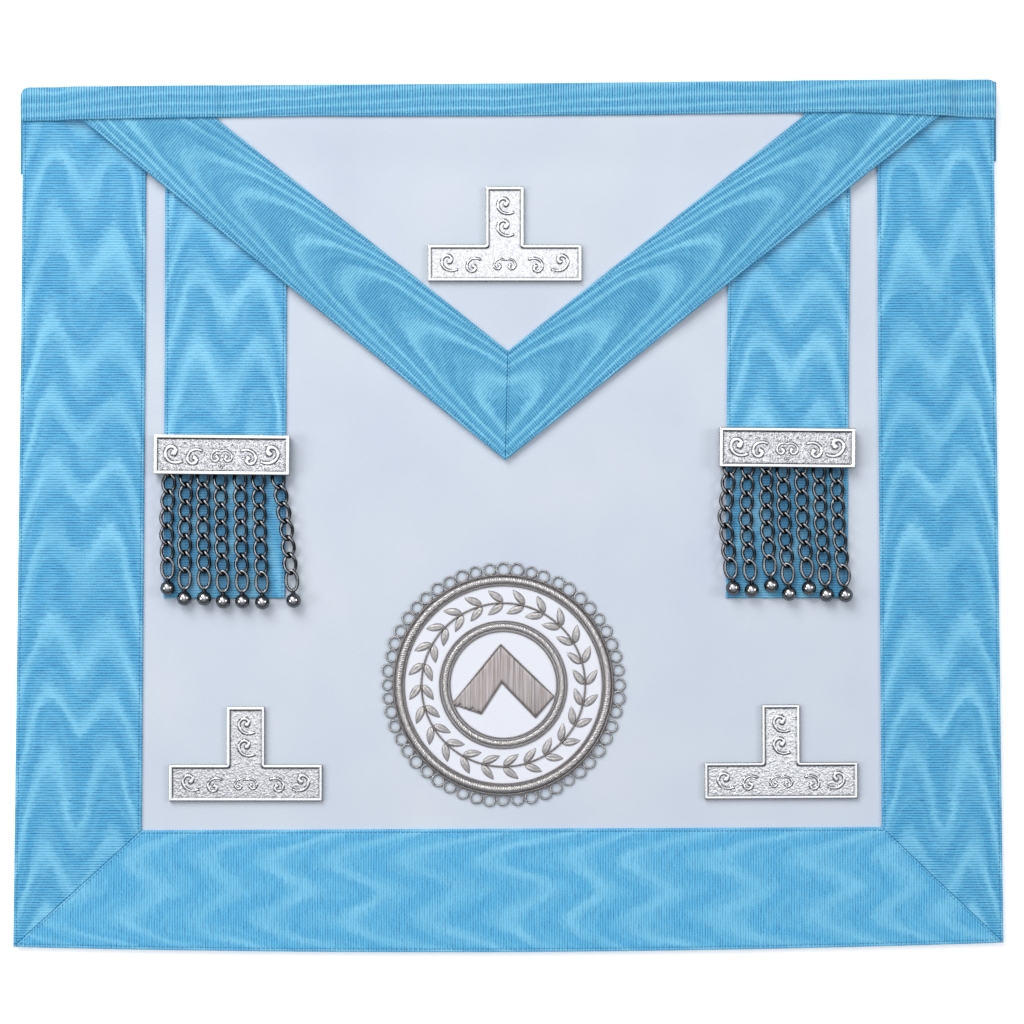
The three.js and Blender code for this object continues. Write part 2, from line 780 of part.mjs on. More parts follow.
const badge = frameAt(badgeX, hemInnerY(badgeX) + badgeAboveHem, ribbonFloor);
const onGround = badgeGroundThickness + layerGap;
const outerRing = halfRoundRing(outerRingRadius, outerRingWidth, onGround, ringSides);
const innerRing = halfRoundRing(innerRingRadius, innerRingWidth, onGround, innerRingSides);
place('badge_disc', badgeDisc(), whiteGround, badge);
place('badge_loop_edge', badgeLoopEdge(), bullion, badge);
place('badge_outer_ring', outerRing, bullion, badge);
place('badge_inner_ring', innerRing, bullion, badge);
place('badge_square', badgeSquare().translate([0, 0, onGround]), bullion, badge);

export default apron;
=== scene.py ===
"""A ceremonial craft apron lying flat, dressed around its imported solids.

Everything is in metres, in the solids' own frame: X across the apron, Y up it to the waist, Z up from
the floor. Cloth and leather are numpy height surfaces over the outlines of the solids they stand for,
metal relief is a dense height field, and chains, rings and stitches are copies of small swept shapes.
"""
import logging
import math
from dataclasses import dataclass, field, replace
from enum import Enum
from typing import Callable, Sequence

import bpy
import numpy as np
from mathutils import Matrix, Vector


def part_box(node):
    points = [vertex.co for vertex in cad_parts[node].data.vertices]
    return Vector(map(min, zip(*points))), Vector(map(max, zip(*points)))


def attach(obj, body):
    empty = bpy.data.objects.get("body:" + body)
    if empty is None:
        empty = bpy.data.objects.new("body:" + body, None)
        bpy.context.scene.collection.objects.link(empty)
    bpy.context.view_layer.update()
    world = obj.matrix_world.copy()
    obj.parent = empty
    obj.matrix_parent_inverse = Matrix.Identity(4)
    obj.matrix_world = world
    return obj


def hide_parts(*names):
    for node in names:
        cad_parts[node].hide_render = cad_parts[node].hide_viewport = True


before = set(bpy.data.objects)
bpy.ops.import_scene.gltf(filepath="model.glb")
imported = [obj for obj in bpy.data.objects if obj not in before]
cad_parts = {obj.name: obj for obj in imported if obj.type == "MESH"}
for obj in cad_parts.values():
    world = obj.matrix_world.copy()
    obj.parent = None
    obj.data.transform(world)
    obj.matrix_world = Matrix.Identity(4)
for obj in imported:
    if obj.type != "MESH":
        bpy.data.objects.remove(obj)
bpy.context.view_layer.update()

MM = 0.001
ROOT = "root"
WEAVE = "weave"
TONE = "tone"

log = logging.getLogger("apron")
Array = np.ndarray
Edge = Callable[[Array], Array]
Height = Callable[[Array, Array], Array]


# Surfaces as arrays

@dataclass
class Surface:
    """A mesh as arrays, before Blender sees it.

    points holds a row for each vertex, corners the vertex numbers of all faces end to end, and sizes the
    number of corners of each face. weave is a pair for each vertex: across and along the cloth or thread.
    tone is one number for each vertex, from 0 to 1, that darkens the colour: low in hollows, and also painted
    shade on sides turned from the light, on walls and under the chains, and high where round metal faces up
    as a painted highlight.
    """

    points: Array
    corners: Array
    sizes: Array
    weave: Array
    tone: Array

    @staticmethod
    def quads(
        points: Array, faces: Array, weave: Array | None = None, tone: Array | None = None,
    ) -> "Surface":
        """Makes a surface of four-cornered faces.

        Args:
            points: n by 3 places.
            faces: m by 4 vertex numbers.
            weave: n by 2 cloth coordinates, or none.
            tone: n values, or none for 1 everywhere.

        Returns:
            The surface.
        """
        count = len(points)
        weave = np.zeros((count, 2)) if weave is None else weave
        tone = np.ones(count) if tone is None else tone
        return Surface(points, faces.ravel(), np.full(len(faces), 4), weave, tone)

    @staticmethod
    def joined(parts: Sequence["Surface"]) -> "Surface":
        """Puts several surfaces into one, each keeping its own vertices.

        Args:
            parts: the surfaces.

        Returns:
            One surface that holds them all.
        """
        starts = np.cumsum([0] + [len(part.points) for part in parts[:-1]])
        return Surface(
            np.concatenate([part.points for part in parts]),
            np.concatenate([part.corners + start for part, start in zip(parts, starts)]),
            np.concatenate([part.sizes for part in parts]),
            np.concatenate([part.weave for part in parts]),
            np.concatenate([part.tone for part in parts]),
        )

    def copies(self, turns: Array, places: Array) -> "Surface":
        """Repeats the surface, once for each turn and place, as whole arrays.

        Args:
            turns: k by 3 by 3 matrices that turn and scale it.
            places: k by 3 places.

        Returns:
            One surface with k copies.
        """
        k, n = len(places), len(self.points)
        points = np.einsum("kij,nj->kni", turns, self.points) + places[:, None, :]
        corners = (self.corners[None, :] + (np.arange(k) * n)[:, None]).ravel()
        return Surface(
            points.reshape(-1, 3),
            corners,
            np.tile(self.sizes, k),
            np.tile(self.weave, (k, 1)),
            np.tile(self.tone, k),
        )

    def moved(self, place: Sequence[float], turn: float = 0.0) -> "Surface":
        """Turns the surface about the upright axis, in degrees, and then moves it."""
        return self.copies(upright_turns(np.array([math.radians(turn)])), np.array([place], float))


def upright_turns(angles: Array) -> Array:
    """Matrices that turn about the upright axis.

    Args:
        angles: k angles in radians.

    Returns:
        k by 3 by 3 matrices.
    """
    turns = np.zeros((len(angles), 3, 3))
    turns[:, 0, 0] = turns[:, 1, 1] = np.cos(angles)
    turns[:, 1, 0] = np.sin(angles)
    turns[:, 0, 1] = -np.sin(angles)
    turns[:, 2, 2] = 1.0
    return turns


def circle(count: int) -> Array:
    """Angles in radians, spaced evenly round a full turn."""
    return np.arange(count) / count * math.tau


def run_along(path: Array) -> Array:
    """The distance in metres along a path, from its first point to each of its points."""
    return np.concatenate([[0.0], np.cumsum(np.linalg.norm(np.diff(path, axis=0), axis=1))])


def grid_faces(rows: int, columns: int, wrap_rows: bool = False, wrap_columns: bool = False) -> Array:
    """Numbers the quads of a grid of vertices stored row by row.

    Args:
        rows: rows of vertices.
        columns: vertices in a row.
        wrap_rows: whether the last row joins the first.
        wrap_columns: whether the last column joins the first.

    Returns:
        m by 4 vertex numbers, which run from one column to the next and then up a row.
    """
    i = np.arange(rows if wrap_rows else rows - 1)[:, None]
    j = np.arange(columns if wrap_columns else columns - 1)[None, :]
    up, right = (i + 1) % rows, (j + 1) % columns
    corners = [i * columns + j, i * columns + right, up * columns + right, up * columns + j]
    return np.stack(np.broadcast_arrays(*corners), -1).reshape(-1, 4)


def shell(top: Array, bottom: Array, weave: Array) -> Surface:
    """Closes two grids that share their outer ring of places into a thin shell.

    Args:
        top: rows by columns by 3 places, seen from above.
        bottom: the same for the underside.
        weave: rows by columns by 2 cloth coordinates.

    Returns:
        A closed surface with its faces outwards.
    """
    rows, columns = top.shape[:2]
    count = rows * columns
    numbers = np.arange(count).reshape(rows, columns)
    under = numbers + count
    rim = np.ones((rows, columns), bool)
    rim[1:-1, 1:-1] = False
    under[rim] = numbers[rim]
    faces = grid_faces(rows, columns)
    below = under.ravel()[faces][:, ::-1]
    points = np.concatenate([top.reshape(-1, 3), bottom.reshape(-1, 3)])
    used = np.concatenate([np.ones(count, bool), ~rim.ravel()])
    new = np.cumsum(used) - 1
    both = np.tile(weave.reshape(-1, 2), (2, 1))
    return Surface.quads(points[used], new[np.concatenate([faces, below])], both[used])


def capped(points: Array, faces: Array, weave: Array, sides: int, poles: Array, pole_weave: Array) -> Surface:
    """Closes a body of sections with a fan of triangles at each end, round a pole.

    Args:
        points: n by 3 places, section by section.
        faces: m by 4 vertex numbers of the body.
        weave: n by 2 cloth coordinates.
        sides: points in a section.
        poles: the two poles' places.
        pole_weave: their cloth coordinates.

    Returns:
        The closed surface.
    """
    count = len(points)
    k = np.arange(sides)
    following = (k + 1) % sides
    last = count - sides
    first_fan = np.stack([np.full(sides, count), following, k], 1)
    last_fan = np.stack([np.full(sides, count + 1), last + k, last + following], 1)
    return Surface(
        np.concatenate([points, poles]),
        np.concatenate([faces.ravel(), first_fan.ravel(), last_fan.ravel()]),
        np.concatenate([np.full(len(faces), 4), np.full(2 * sides, 3)]),
        np.concatenate([weave, pole_weave]),
        np.ones(count + 2),
    )


def tube(path: Array, radius: Array | float, sides: int, closed: bool = True) -> Surface:
    """Carries a circle along a path: each section is the path's point plus the radius times a unit circle
    square to the path. weave runs round the tube and along it, in metres.

    Args:
        path: n by 3 places.
        radius: one radius, or n of them.
        sides: sides of the section.
        closed: whether the path is a loop. An open tube is closed by a point at each end.

    Returns:
        The closed surface.
    """
    if closed:
        tangent = np.roll(path, -1, 0) - np.roll(path, 1, 0)
    else:
        tangent = np.gradient(path, axis=0)
    tangent /= np.linalg.norm(tangent, axis=1, keepdims=True)
    out = np.cross(tangent, [0.0, 0.0, 1.0])
    out /= np.linalg.norm(out, axis=1, keepdims=True)
    over = np.cross(out, tangent)
    angle = circle(sides)
    reach = np.broadcast_to(np.asarray(radius, float), (len(path),))[:, None, None]
    ring = out[:, None] * np.cos(angle)[None, :, None] - over[:, None] * np.sin(angle)[None, :, None]
    points = (path[:, None] + reach * ring).reshape(-1, 3)
    length = run_along(path)
    weave = np.stack(np.broadcast_arrays(angle[None, :] / math.tau, length[:, None]), -1).reshape(-1, 2)
    faces = grid_faces(len(path), sides, wrap_rows=closed, wrap_columns=True)
    if closed:
        return Surface.quads(points, faces, weave)
    return capped(points, faces, weave, sides, path[[0, -1]], np.array([[0.0, 0.0], [0.0, length[-1]]]))


def turned(profile: Array, sides: int, closed: bool = False) -> Surface:
    """Turns a profile of radius and height about the upright axis: x = r cos a, y = r sin a, z = h.

    Args:
        profile: n by 2 radii and heights. An open one starts and ends on the axis, and runs so that the
            outside is on its right.
        sides: steps round.
        closed: whether the profile is a loop, as for a ring.

    Returns:
        The closed surface. weave runs round in radians and along the profile in metres.
    """
    angle = circle(sides)
    body = profile if closed else profile[1:-1]
    x = body[:, 0, None] * np.cos(angle)
    y = body[:, 0, None] * np.sin(angle)
    z = np.broadcast_to(body[:, 1, None], x.shape)
    weave = np.stack(np.broadcast_arrays(angle[None, :], run_along(body)[:, None]), -1).reshape(-1, 2)
    points = np.stack([x, y, z], -1).reshape(-1, 3)
    faces = grid_faces(len(body), sides, wrap_rows=closed, wrap_columns=True)
    if closed:
        return Surface.quads(points, faces, weave)
    poles = np.array([[0.0, 0.0, profile[0, 1]], [0.0, 0.0, profile[-1, 1]]])
    return capped(points, faces, weave, sides, poles, np.zeros((2, 2)))


# The tone of a cast plate's walls where they meet the floor: painted shade, as the walls face sideways, away
# from the light
WALL_PAINTED_SHADE = 0.1


def relief_plate(xs: Array, ys: Array, inside: Array, height: Array, tone: Array, floor: float) -> Surface:
    """A plate with a relief on top: each cell of the grid that is inside has a face at the given height,
    walls drop from the outline to the floor, and one flat face closes the underside.

    Args:
        xs: column places.
        ys: row places.
        inside: (rows - 1) by (columns - 1) flags, one for each cell.
        height: rows by columns heights.
        tone: rows by columns tones.
        floor: height of the underside.

    Returns:
        The closed surface.
    """
    rows, columns = height.shape
    faces = grid_faces(rows, columns)[inside.ravel()]
    edges = np.concatenate([faces[:, [k, (k + 1) % 4]] for k in range(4)])
    code = edges[:, 0] * (rows * columns) + edges[:, 1]
    back = edges[:, 1] * (rows * columns) + edges[:, 0]
    border = edges[~np.isin(code, back)]
    following = dict(zip(border[:, 0].tolist(), border[:, 1].tolist()))
    loop = [int(border[0, 0])]
    while following[loop[-1]] != loop[0]:
        loop.append(following[loop[-1]])
    rim = np.array(loop)
    x, y = np.meshgrid(xs, ys)
    points = np.stack([x, y, height], -1).reshape(-1, 3)
    low = points[rim].copy()
    low[:, 2] = floor
    below = len(points) + np.arange(len(rim))
    walls = np.stack([rim, below, np.roll(below, -1), np.roll(rim, -1)], 1)
    used = np.zeros(len(points), bool)
    used[faces.ravel()] = True
    new = np.concatenate([np.cumsum(used) - 1, used.sum() + np.arange(len(rim))])
    corners = new[np.concatenate([faces.ravel(), walls.ravel(), below[::-1]])]
    sizes = np.concatenate([np.full(len(faces) + len(walls), 4), [len(rim)]])
    kept = np.concatenate([points[used], low])
    tones = np.concatenate([tone.ravel()[used], np.full(len(rim), WALL_PAINTED_SHADE)])
    return Surface(kept, corners, sizes, kept[:, :2].copy(), tones)


# Materials as expressions

def operator(operation: str, first: bool = True) -> Callable[["Socket", "Socket | float"], "Socket"]:
    """A Python operator that adds one Math node, with the socket itself as first or second value."""
    return lambda socket, other: socket.math(operation, other, first=first)


class Socket:
    """A shader output that Python's operators work on. Each operation adds one Math node."""

    def __init__(self, shader: "Shader", link: bpy.types.NodeSocket) -> None:
        """Wraps one output socket of a shader's node."""
        self.shader = shader
        self.link = link

    def math(self, operation: str, *others: "Socket | float", first: bool = True) -> "Socket":
        """Adds a Math node.

        Args:
            operation: the Math node's operation.
            others: the other values.
            first: whether this socket is the first value, or the second.

        Returns:
            The node's output.
        """
        values = [self, *others] if first else [*others, self]
        node = self.shader.node("ShaderNodeMath", {"operation": operation}, dict(enumerate(values)))
        return Socket(self.shader, node.outputs[0])

    __add__ = __radd__ = operator("ADD")
    __sub__, __rsub__ = operator("SUBTRACT"), operator("SUBTRACT", first=False)
    __mul__ = __rmul__ = operator("MULTIPLY")
    __truediv__ = operator("DIVIDE")
    __pow__ = operator("POWER")

    def wave(self) -> "Socket":
        """A wave from 0 to 1 that repeats each time the value grows by 1."""
        return (self * math.tau).math("SINE") * 0.5 + 0.5

    def size(self) -> "Socket":
        """The value without its sign."""
        return self.math("ABSOLUTE")

    def held(self) -> "Socket":
        """The value kept between 0 and 1."""
        return self.math("MAXIMUM", 0.0).math("MINIMUM", 1.0)


Colour = tuple[float, float, float]


def srgb(red: int, green: int, blue: int) -> Colour:
    """Turns a colour of 0 to 255 as seen on a screen into a linear one.

    Args:
        red: red share.
        green: green share.
        blue: blue share.

    Returns:
        Three linear values.
    """
    shares = (red / 255, green / 255, blue / 255)
    return tuple(s / 12.92 if s <= 0.04045 else ((s + 0.055) / 1.055) ** 2.4 for s in shares)


class Shader:
    """One material's node tree, built by expressions."""

    def __init__(self, name: str) -> None:
        """Starts a material of this name with a Principled shader."""
        self.material = bpy.data.materials.new(name)
        self.material.use_nodes = True
        self.tree = self.material.node_tree
        self.tree.nodes.clear()
        self.surface = self.node("ShaderNodeBsdfPrincipled", {}, {})
        output = self.node("ShaderNodeOutputMaterial", {}, {})
        self.tree.links.new(self.surface.outputs[0], output.inputs["Surface"])

    def node(self, kind: str, settings: dict, inputs: dict) -> bpy.types.Node:
        """Adds one node.

        Args:
            kind: the node's type.
            settings: its own settings, set first.
            inputs: values or links of its sockets, by name or number.

        Returns:
            The node.
        """
        made = self.tree.nodes.new(kind)
        for key, value in settings.items():
            setattr(made, key, value)
        for key, value in inputs.items():
            self.feed(made.inputs[key], value)
        return made

    def feed(self, socket: bpy.types.NodeSocket, value: "Socket | Sequence[float] | float") -> None:
        """Links a socket, or sets its value.

        Args:
            socket: a node's input.
            value: a link, a number, a vector or a colour.
        """
        if isinstance(value, Socket):
            self.tree.links.new(value.link, socket)
        elif isinstance(value, (tuple, list)) and socket.type == "RGBA":
            socket.default_value = (*value, 1.0)
        else:
            socket.default_value = value

    def out(self, node: bpy.types.Node, name: str | int = 0) -> Socket:
        """Wraps one output of a node."""
        return Socket(self, node.outputs[name])

    def weave(self) -> tuple[Socket, Socket]:
        """The piece's own cloth coordinates: across and along."""
        uv = self.node("ShaderNodeUVMap", {"uv_map": WEAVE}, {})
        parts = self.node("ShaderNodeSeparateXYZ", {}, {0: self.out(uv)})
        return self.out(parts, "X"), self.out(parts, "Y")

    def tone(self) -> Socket:
        """The piece's own tone: low in hollows and where shade is painted, high on ridges and where a
        highlight is painted.
        """
        return self.out(self.node("ShaderNodeAttribute", {"attribute_name": TONE}, {}), "Fac")

    def place(self) -> Socket:
        """The point on the object, in metres."""
        return self.out(self.node("ShaderNodeTexCoord", {}, {}), "Object")

    def vector(self, x: Socket | float, y: Socket | float, z: Socket | float = 0.0) -> Socket:
        """Joins three values into a vector."""
        return self.out(self.node("ShaderNodeCombineXYZ", {}, {0: x, 1: y, 2: z}))

    def noise(self, vector: Socket, scale: float, detail: float = 2.0) -> Socket:
        """Smooth noise.

        Args:
            vector: where it is read.
            scale: cells in one unit.
            detail: octaves of finer noise.

        Returns:
            A value about 0.5.
        """
        made = self.node("ShaderNodeTexNoise", {}, {"Vector": vector, "Scale": scale, "Detail": detail})
        return self.out(made, 0)

    def pebbles(self, vector: Socket, scale: float) -> Socket:
        """Distance to the nearest of scattered points, which makes small rounded cells."""
        made = self.node("ShaderNodeTexVoronoi", {"feature": "SMOOTH_F1"}, {"Vector": vector, "Scale": scale})
        return self.out(made, "Distance")

    def mix(self, share: Socket | float, low: Colour | Socket, high: Colour | Socket) -> Socket:
        """Mixes two colours."""
        inputs = {0: share, 6: low, 7: high}
        return self.out(self.node("ShaderNodeMix", {"data_type": "RGBA"}, inputs), 2)

    def bump(self, height: Socket, distance: float, strength: float = 1.0) -> Socket:
        """A normal tilted by a height map.

        Args:
            height: the height, from 0 to 1.
            distance: metres that 1 stands for.
            strength: share of the tilt that is kept.

        Returns:
            The normal.
        """
        inputs = {"Height": height, "Distance": distance, "Strength": strength}
        return self.out(self.node("ShaderNodeBump", {}, inputs))

    def dress(self, **inputs: "Socket | Sequence[float] | float") -> bpy.types.Material:
        """Feeds the Principled shader, with underscores for spaces, and returns the material."""
        for key, value in inputs.items():
            self.feed(self.surface.inputs[key.replace("_", " ").title()], value)
        return self.material


class Watermark(Enum):
    """The course of the pale lines on a watered ribbon, in metres along it: the height of the twin humps,
    the fall towards the edges, that fall's power, and the distance from one line to the next."""

    TWIN = (0.024, 0.019, 5.0, 0.031)
    POINTED = (0.000, 0.105, 2.4, 0.030)
    STREAKED = (0.006, 0.260, 1.3, 0.085)


@dataclass(frozen=True)
class WateredRibbon:
    """Ribbed silk ribbon with a watered sheen. The pale lines lie where the distance along the ribbon,
    less a hump that depends on the distance across it, passes a whole number of periods. The ribs show
    most between the lines. A low tone is painted shadow of the chains."""

    name: str
    watermark: Watermark
    seed: float
    slot: str = "ribbon_blue"
    dark: Colour = srgb(77, 184, 232)
    pale: Colour = srgb(136, 216, 249)
    groove: Colour = srgb(10, 92, 152)
    # The colour of the chains' painted shadow, mixed in where tone is low
    painted_chain_shadow: Colour = srgb(16, 84, 134)
    strength: float = 1.0
    rib_pitch: float = 1.05 * MM
    rib_depth: float = 0.08 * MM
    rib_shade: float = 0.86
    wander: float = 0.13
    rounding: float = 0.35
    ragged: float = 0.34
    roughness: float = 0.52

    def build(self) -> bpy.types.Material:
        """Builds and returns the material."""
        shader = Shader(self.name)
        humps, drop, power, period = self.watermark.value
        across, along = shader.weave()

        def slow(wide: float, long: float, offset: float) -> Socket:
            """Broad noise about 0, with so many cells across the ribbon and in a metre along it."""
            place = shader.vector(across * wide, along * long, self.seed + offset)
            return shader.noise(place, 1.0, 1.0) - 0.5

        drift, second = slow(0.5, 14.0, 0.0), slow(0.9, 34.0, 7.0)
        bent = across + drift * self.wander
        swing = 0.75 + slow(0.3, 9.0, 11.0) * 1.6
        arches = (bent * math.pi).math("SINE").size() * 2.0 - 1.0
        waves = (bent * math.tau).math("COSINE") * -1.0
        hump = (arches * self.rounding + waves * (1.0 - self.rounding)) * swing * (0.5 * humps)
        fall = (bent.size() ** power) * drop
        jagged = shader.noise(shader.vector(across * 9.0, along * 950.0, self.seed + 2.0), 1.0, 1.0) - 0.5
        phase = (along - hump + fall) / period + drift * 1.3 + second * 0.5 + jagged * self.ragged
        line = phase.wave() ** 3.0
        fine = (phase * 2.0 + second * 2.2 + 0.3).wave() ** 3.0
        patches = slow(1.8, 60.0, 3.0)
        bold = 1.0 + slow(0.8, 20.0, 5.0) * 1.6
        water = (line * bold * 0.62 + fine * 0.22 + patches * 0.34 + 0.17) * self.strength
        water = (water + (1.0 - self.strength) * 0.35).held()
        thread = shader.noise(shader.vector(across * 4.0, along * 1900.0, self.seed), 1.0, 1.0) - 0.5
        broken = shader.noise(shader.vector(across * 40.0, along * 900.0, self.seed + 1.0), 1.0, 1.0) - 0.5
        rib = (along / self.rib_pitch + slow(2.0, 200.0, 5.0) * 0.4).wave() ** 1.4
        silk = shader.mix(water, self.dark, self.pale)
        clear = 1.0 - water * 0.55
        # Painted shade in the grooves between the ribs, mixed towards the groove colour
        shade = rib * clear * (self.rib_shade + broken * 1.2) + thread * clear * 0.9
        # A low tone mixes in the chains' painted shadow
        ridged = shader.mix(shader.tone(), self.painted_chain_shadow, shader.mix(shade.held(), silk, self.groove))
        normal = shader.bump(1.0 - rib, self.rib_depth, 0.5)
        return shader.dress(base_color=ridged, roughness=self.roughness - water * 0.1, normal=normal)


@dataclass(frozen=True)
class Lambskin:
    """White leather: a fine pebbled grain, faint cloudiness and a soft gloss."""

    name: str = "white_lambskin"
    slot: str = "leather_white"
    base: Colour = srgb(213, 222, 231)
    cloud: Colour = srgb(198, 208, 226)
    bloom: Colour = srgb(226, 234, 246)
    grain: float = 0.8 * MM
    depth: float = 0.08 * MM

    def build(self) -> bpy.types.Material:
        """Builds and returns the material."""
        shader = Shader(self.name)
        place = shader.place()
        cloud = ((shader.noise(place, 17.0, 4.0) - 0.5) * 1.6 + 0.5).held()
        pebble = shader.pebbles(place, 1.0 / self.grain)
        crease = shader.noise(place, 900.0, 2.0)
        colour = shader.mix(cloud, self.base, self.cloud)
        colour = shader.mix((crease * 0.16).held(), colour, self.bloom)
        normal = shader.bump(pebble + crease * 0.5, self.depth, 0.5)
        return shader.dress(base_color=colour, roughness=0.52 + cloud * 0.1, normal=normal)


@dataclass(frozen=True)
class PlainMetal:
    """A bright or dark metal, with fine scratches in its gloss. A low tone darkens it in hollows, and as
    painted shade on walls and on sides turned from the light; on round steel a high tone on top is a painted
    highlight.
    """

    name: str
    slot: str
    ridge: Colour
    hollow_and_shade: Colour
    gloss: float
    hollow_gloss: float
    scratch: float = 0.06

    def build(self) -> bpy.types.Material:
        """Builds and returns the material."""
        shader = Shader(self.name)
        tone = shader.tone()
        place = shader.place()
        fine = shader.noise(place, 2200.0, 2.0)
        colour = shader.mix(tone, self.hollow_and_shade, self.ridge)
        rough = self.hollow_gloss - tone * (self.hollow_gloss - self.gloss) + (fine - 0.5) * self.scratch
        normal = shader.bump(fine, 0.01 * MM, 0.4)
        return shader.dress(base_color=colour, metallic=1.0, roughness=rough.held(), normal=normal)


@dataclass(frozen=True)
class Bullion:
    """Silver metal thread, laid in fine turns: a diagonal hatch across the weave, half metal, half silk. The
    hatch's light and dark along each turn are painted highlight and painted shade over a matching bump, and a
    low tone darkens it further as painted shade.
    """

    name: str
    slot: str = "embroidery_silver"
    light: Colour = srgb(246, 243, 242)
    dark: Colour = srgb(120, 115, 114)
    turns: float = 1400.0
    slant: float = 3.0
    metal: float = 0.75

    def build(self) -> bpy.types.Material:
        """Builds and returns the material."""
        shader = Shader(self.name)
        across, along = shader.weave()
        uneven = shader.noise(shader.place(), 900.0, 2.0)
        hatch = (along * self.turns + across * self.slant + uneven * 0.6).wave()
        share = ((hatch * 0.75 + (uneven - 0.3) * 0.7) * shader.tone()).held()
        colour = shader.mix(share, self.dark, self.light)
        normal = shader.bump(hatch, 0.06 * MM, 0.7)
        return shader.dress(base_color=colour, metallic=self.metal, roughness=0.36, normal=normal)


@dataclass(frozen=True)
class SatinStitch:
    """Flat silk and metal threads laid side by side, each a little different in colour, with painted shade
    towards each thread's sides and on random lanes.
    """

    name: str = "satin_stitch"
    slot: str = "embroidery_silver"
    silver: Colour = srgb(236, 232, 236)
    beige: Colour = srgb(208, 194, 186)
    shade: Colour = srgb(122, 112, 112)
    thread: float = 0.36 * MM

    def build(self) -> bpy.types.Material:
        """Builds and returns the material."""
        shader = Shader(self.name)
        across, along = shader.weave()
        lane = (across / self.thread).math("FLOOR")
        lot = shader.noise(shader.vector(lane * 3.7, along * 60.0, 2.0), 1.0, 1.0)
        depth = shader.noise(shader.vector(lane * 5.3, along * 25.0, 9.0), 1.0, 1.0)
        round_ = (across / self.thread).wave()
        colour = shader.mix(((lot - 0.3) * 3.0).held(), self.beige, self.silver)
        shade = (1.0 - round_) * 0.45 + ((depth - 0.45) * 2.2).held()
        colour = shader.mix(shade.held(), colour, self.shade)
        normal = shader.bump(round_, 0.1 * MM, 0.7)
        return shader.dress(base_color=colour, metallic=0.25, roughness=0.4, normal=normal)


@dataclass(frozen=True)
class Cloth:
    """Plain cloth: felt, webbing or thread, with a crossed weave of its own pitch."""

    name: str
    slot: str
    base: Colour
    shade: Colour
    pitch: float
    depth: float = 0.05 * MM

    def build(self) -> bpy.types.Material:
        """Builds and returns the material."""
        shader = Shader(self.name)
        place = shader.node("ShaderNodeSeparateXYZ", {}, {0: shader.place()})
        x, y = shader.out(place, "X"), shader.out(place, "Y")
        weave = ((x / self.pitch).wave() * (y / self.pitch).wave()).held()
        fuzz = shader.noise(shader.place(), 1500.0, 3.0)
        share = (weave * 0.5 + fuzz * 0.6).held()
        normal = shader.bump(share, self.depth, 0.6)
        colour = shader.mix(share, self.shade, self.base)
        return shader.dress(base_color=colour, roughness=0.85, normal=normal, sheen_weight=0.2)


@dataclass(frozen=True)
class Floor:
    """The plain white floor, which glows a little so that it stays white."""

    name: str = "white_floor"
    warm: Colour = (0.95, 0.95, 0.95)
    cool: Colour = (0.93, 0.935, 0.94)
    glow: float = 0.3

    def build(self) -> bpy.types.Material:
        """Builds and returns the material."""
        shader = Shader(self.name)
        paper = shader.noise(shader.place(), 3.0, 1.0)
        colour = shader.mix(paper, self.cool, self.warm)
        return shader.dress(
            base_color=colour, roughness=0.9, emission_color=(1.0, 1.0, 1.0), emission_strength=self.glow,
        )


SIDE_RIBBON = WateredRibbon("watered_ribbon_side", Watermark.TWIN, 1.0)
HEM_RIBBON = WateredRibbon(
    "watered_ribbon_hem", Watermark.TWIN, 4.0, dark=srgb(81, 189, 239), strength=0.75, rib_shade=0.64,
)
TASSEL_RIBBON = WateredRibbon("watered_ribbon_tassel", Watermark.TWIN, 9.0, pale=srgb(142, 220, 252))
FLAP_RIBBON = WateredRibbon(
    "watered_ribbon_flap", Watermark.POINTED, 2.0, dark=srgb(70, 172, 216), pale=srgb(130, 212, 240),
)
BAND_RIBBON = WateredRibbon(
    "watered_ribbon_band", Watermark.STREAKED, 5.0, dark=srgb(80, 186, 228), pale=srgb(142, 216, 240),
    strength=0.8, rib_shade=1.1,
)
LEATHER = Lambskin()
SILVER = PlainMetal("cast_silver", "silver_plate", srgb(244, 245, 248), srgb(62, 64, 70), 0.16, 0.34)
# On chains and balls the tone is painted light: the bright colour is a painted highlight where the steel
# faces up, the dark one painted shade on its sides
STEEL = PlainMetal("dark_steel", "chain_steel", srgb(200, 200, 204), srgb(20, 21, 24), 0.15, 0.3)
CLASP_METAL = PlainMetal("clasp_metal", "clasp_metal", srgb(168, 171, 176), srgb(90, 92, 96), 0.3, 0.5)
BULLION = Bullion("bullion")
PURL = Bullion("purl", light=srgb(252, 251, 252), dark=srgb(80, 78, 80), turns=2200.0, metal=0.9)
GIMP = Bullion("gimp", dark=srgb(88, 80, 76), light=srgb(172, 165, 160), turns=2600.0)
SATIN = SatinStitch()
FELT = Cloth("badge_felt", "badge_ground", srgb(247, 249, 255), srgb(226, 230, 242), 0.35 * MM)
WEBBING = Cloth("belt_webbing", "belt_webbing", srgb(96, 172, 214), srgb(48, 118, 164), 1.1 * MM)
THREAD = Cloth("ribbon_thread", "ribbon_blue", srgb(92, 164, 204), srgb(46, 118, 166), 0.3 * MM)

Finish = WateredRibbon | Lambskin | PlainMetal | Bullion | SatinStitch | Cloth


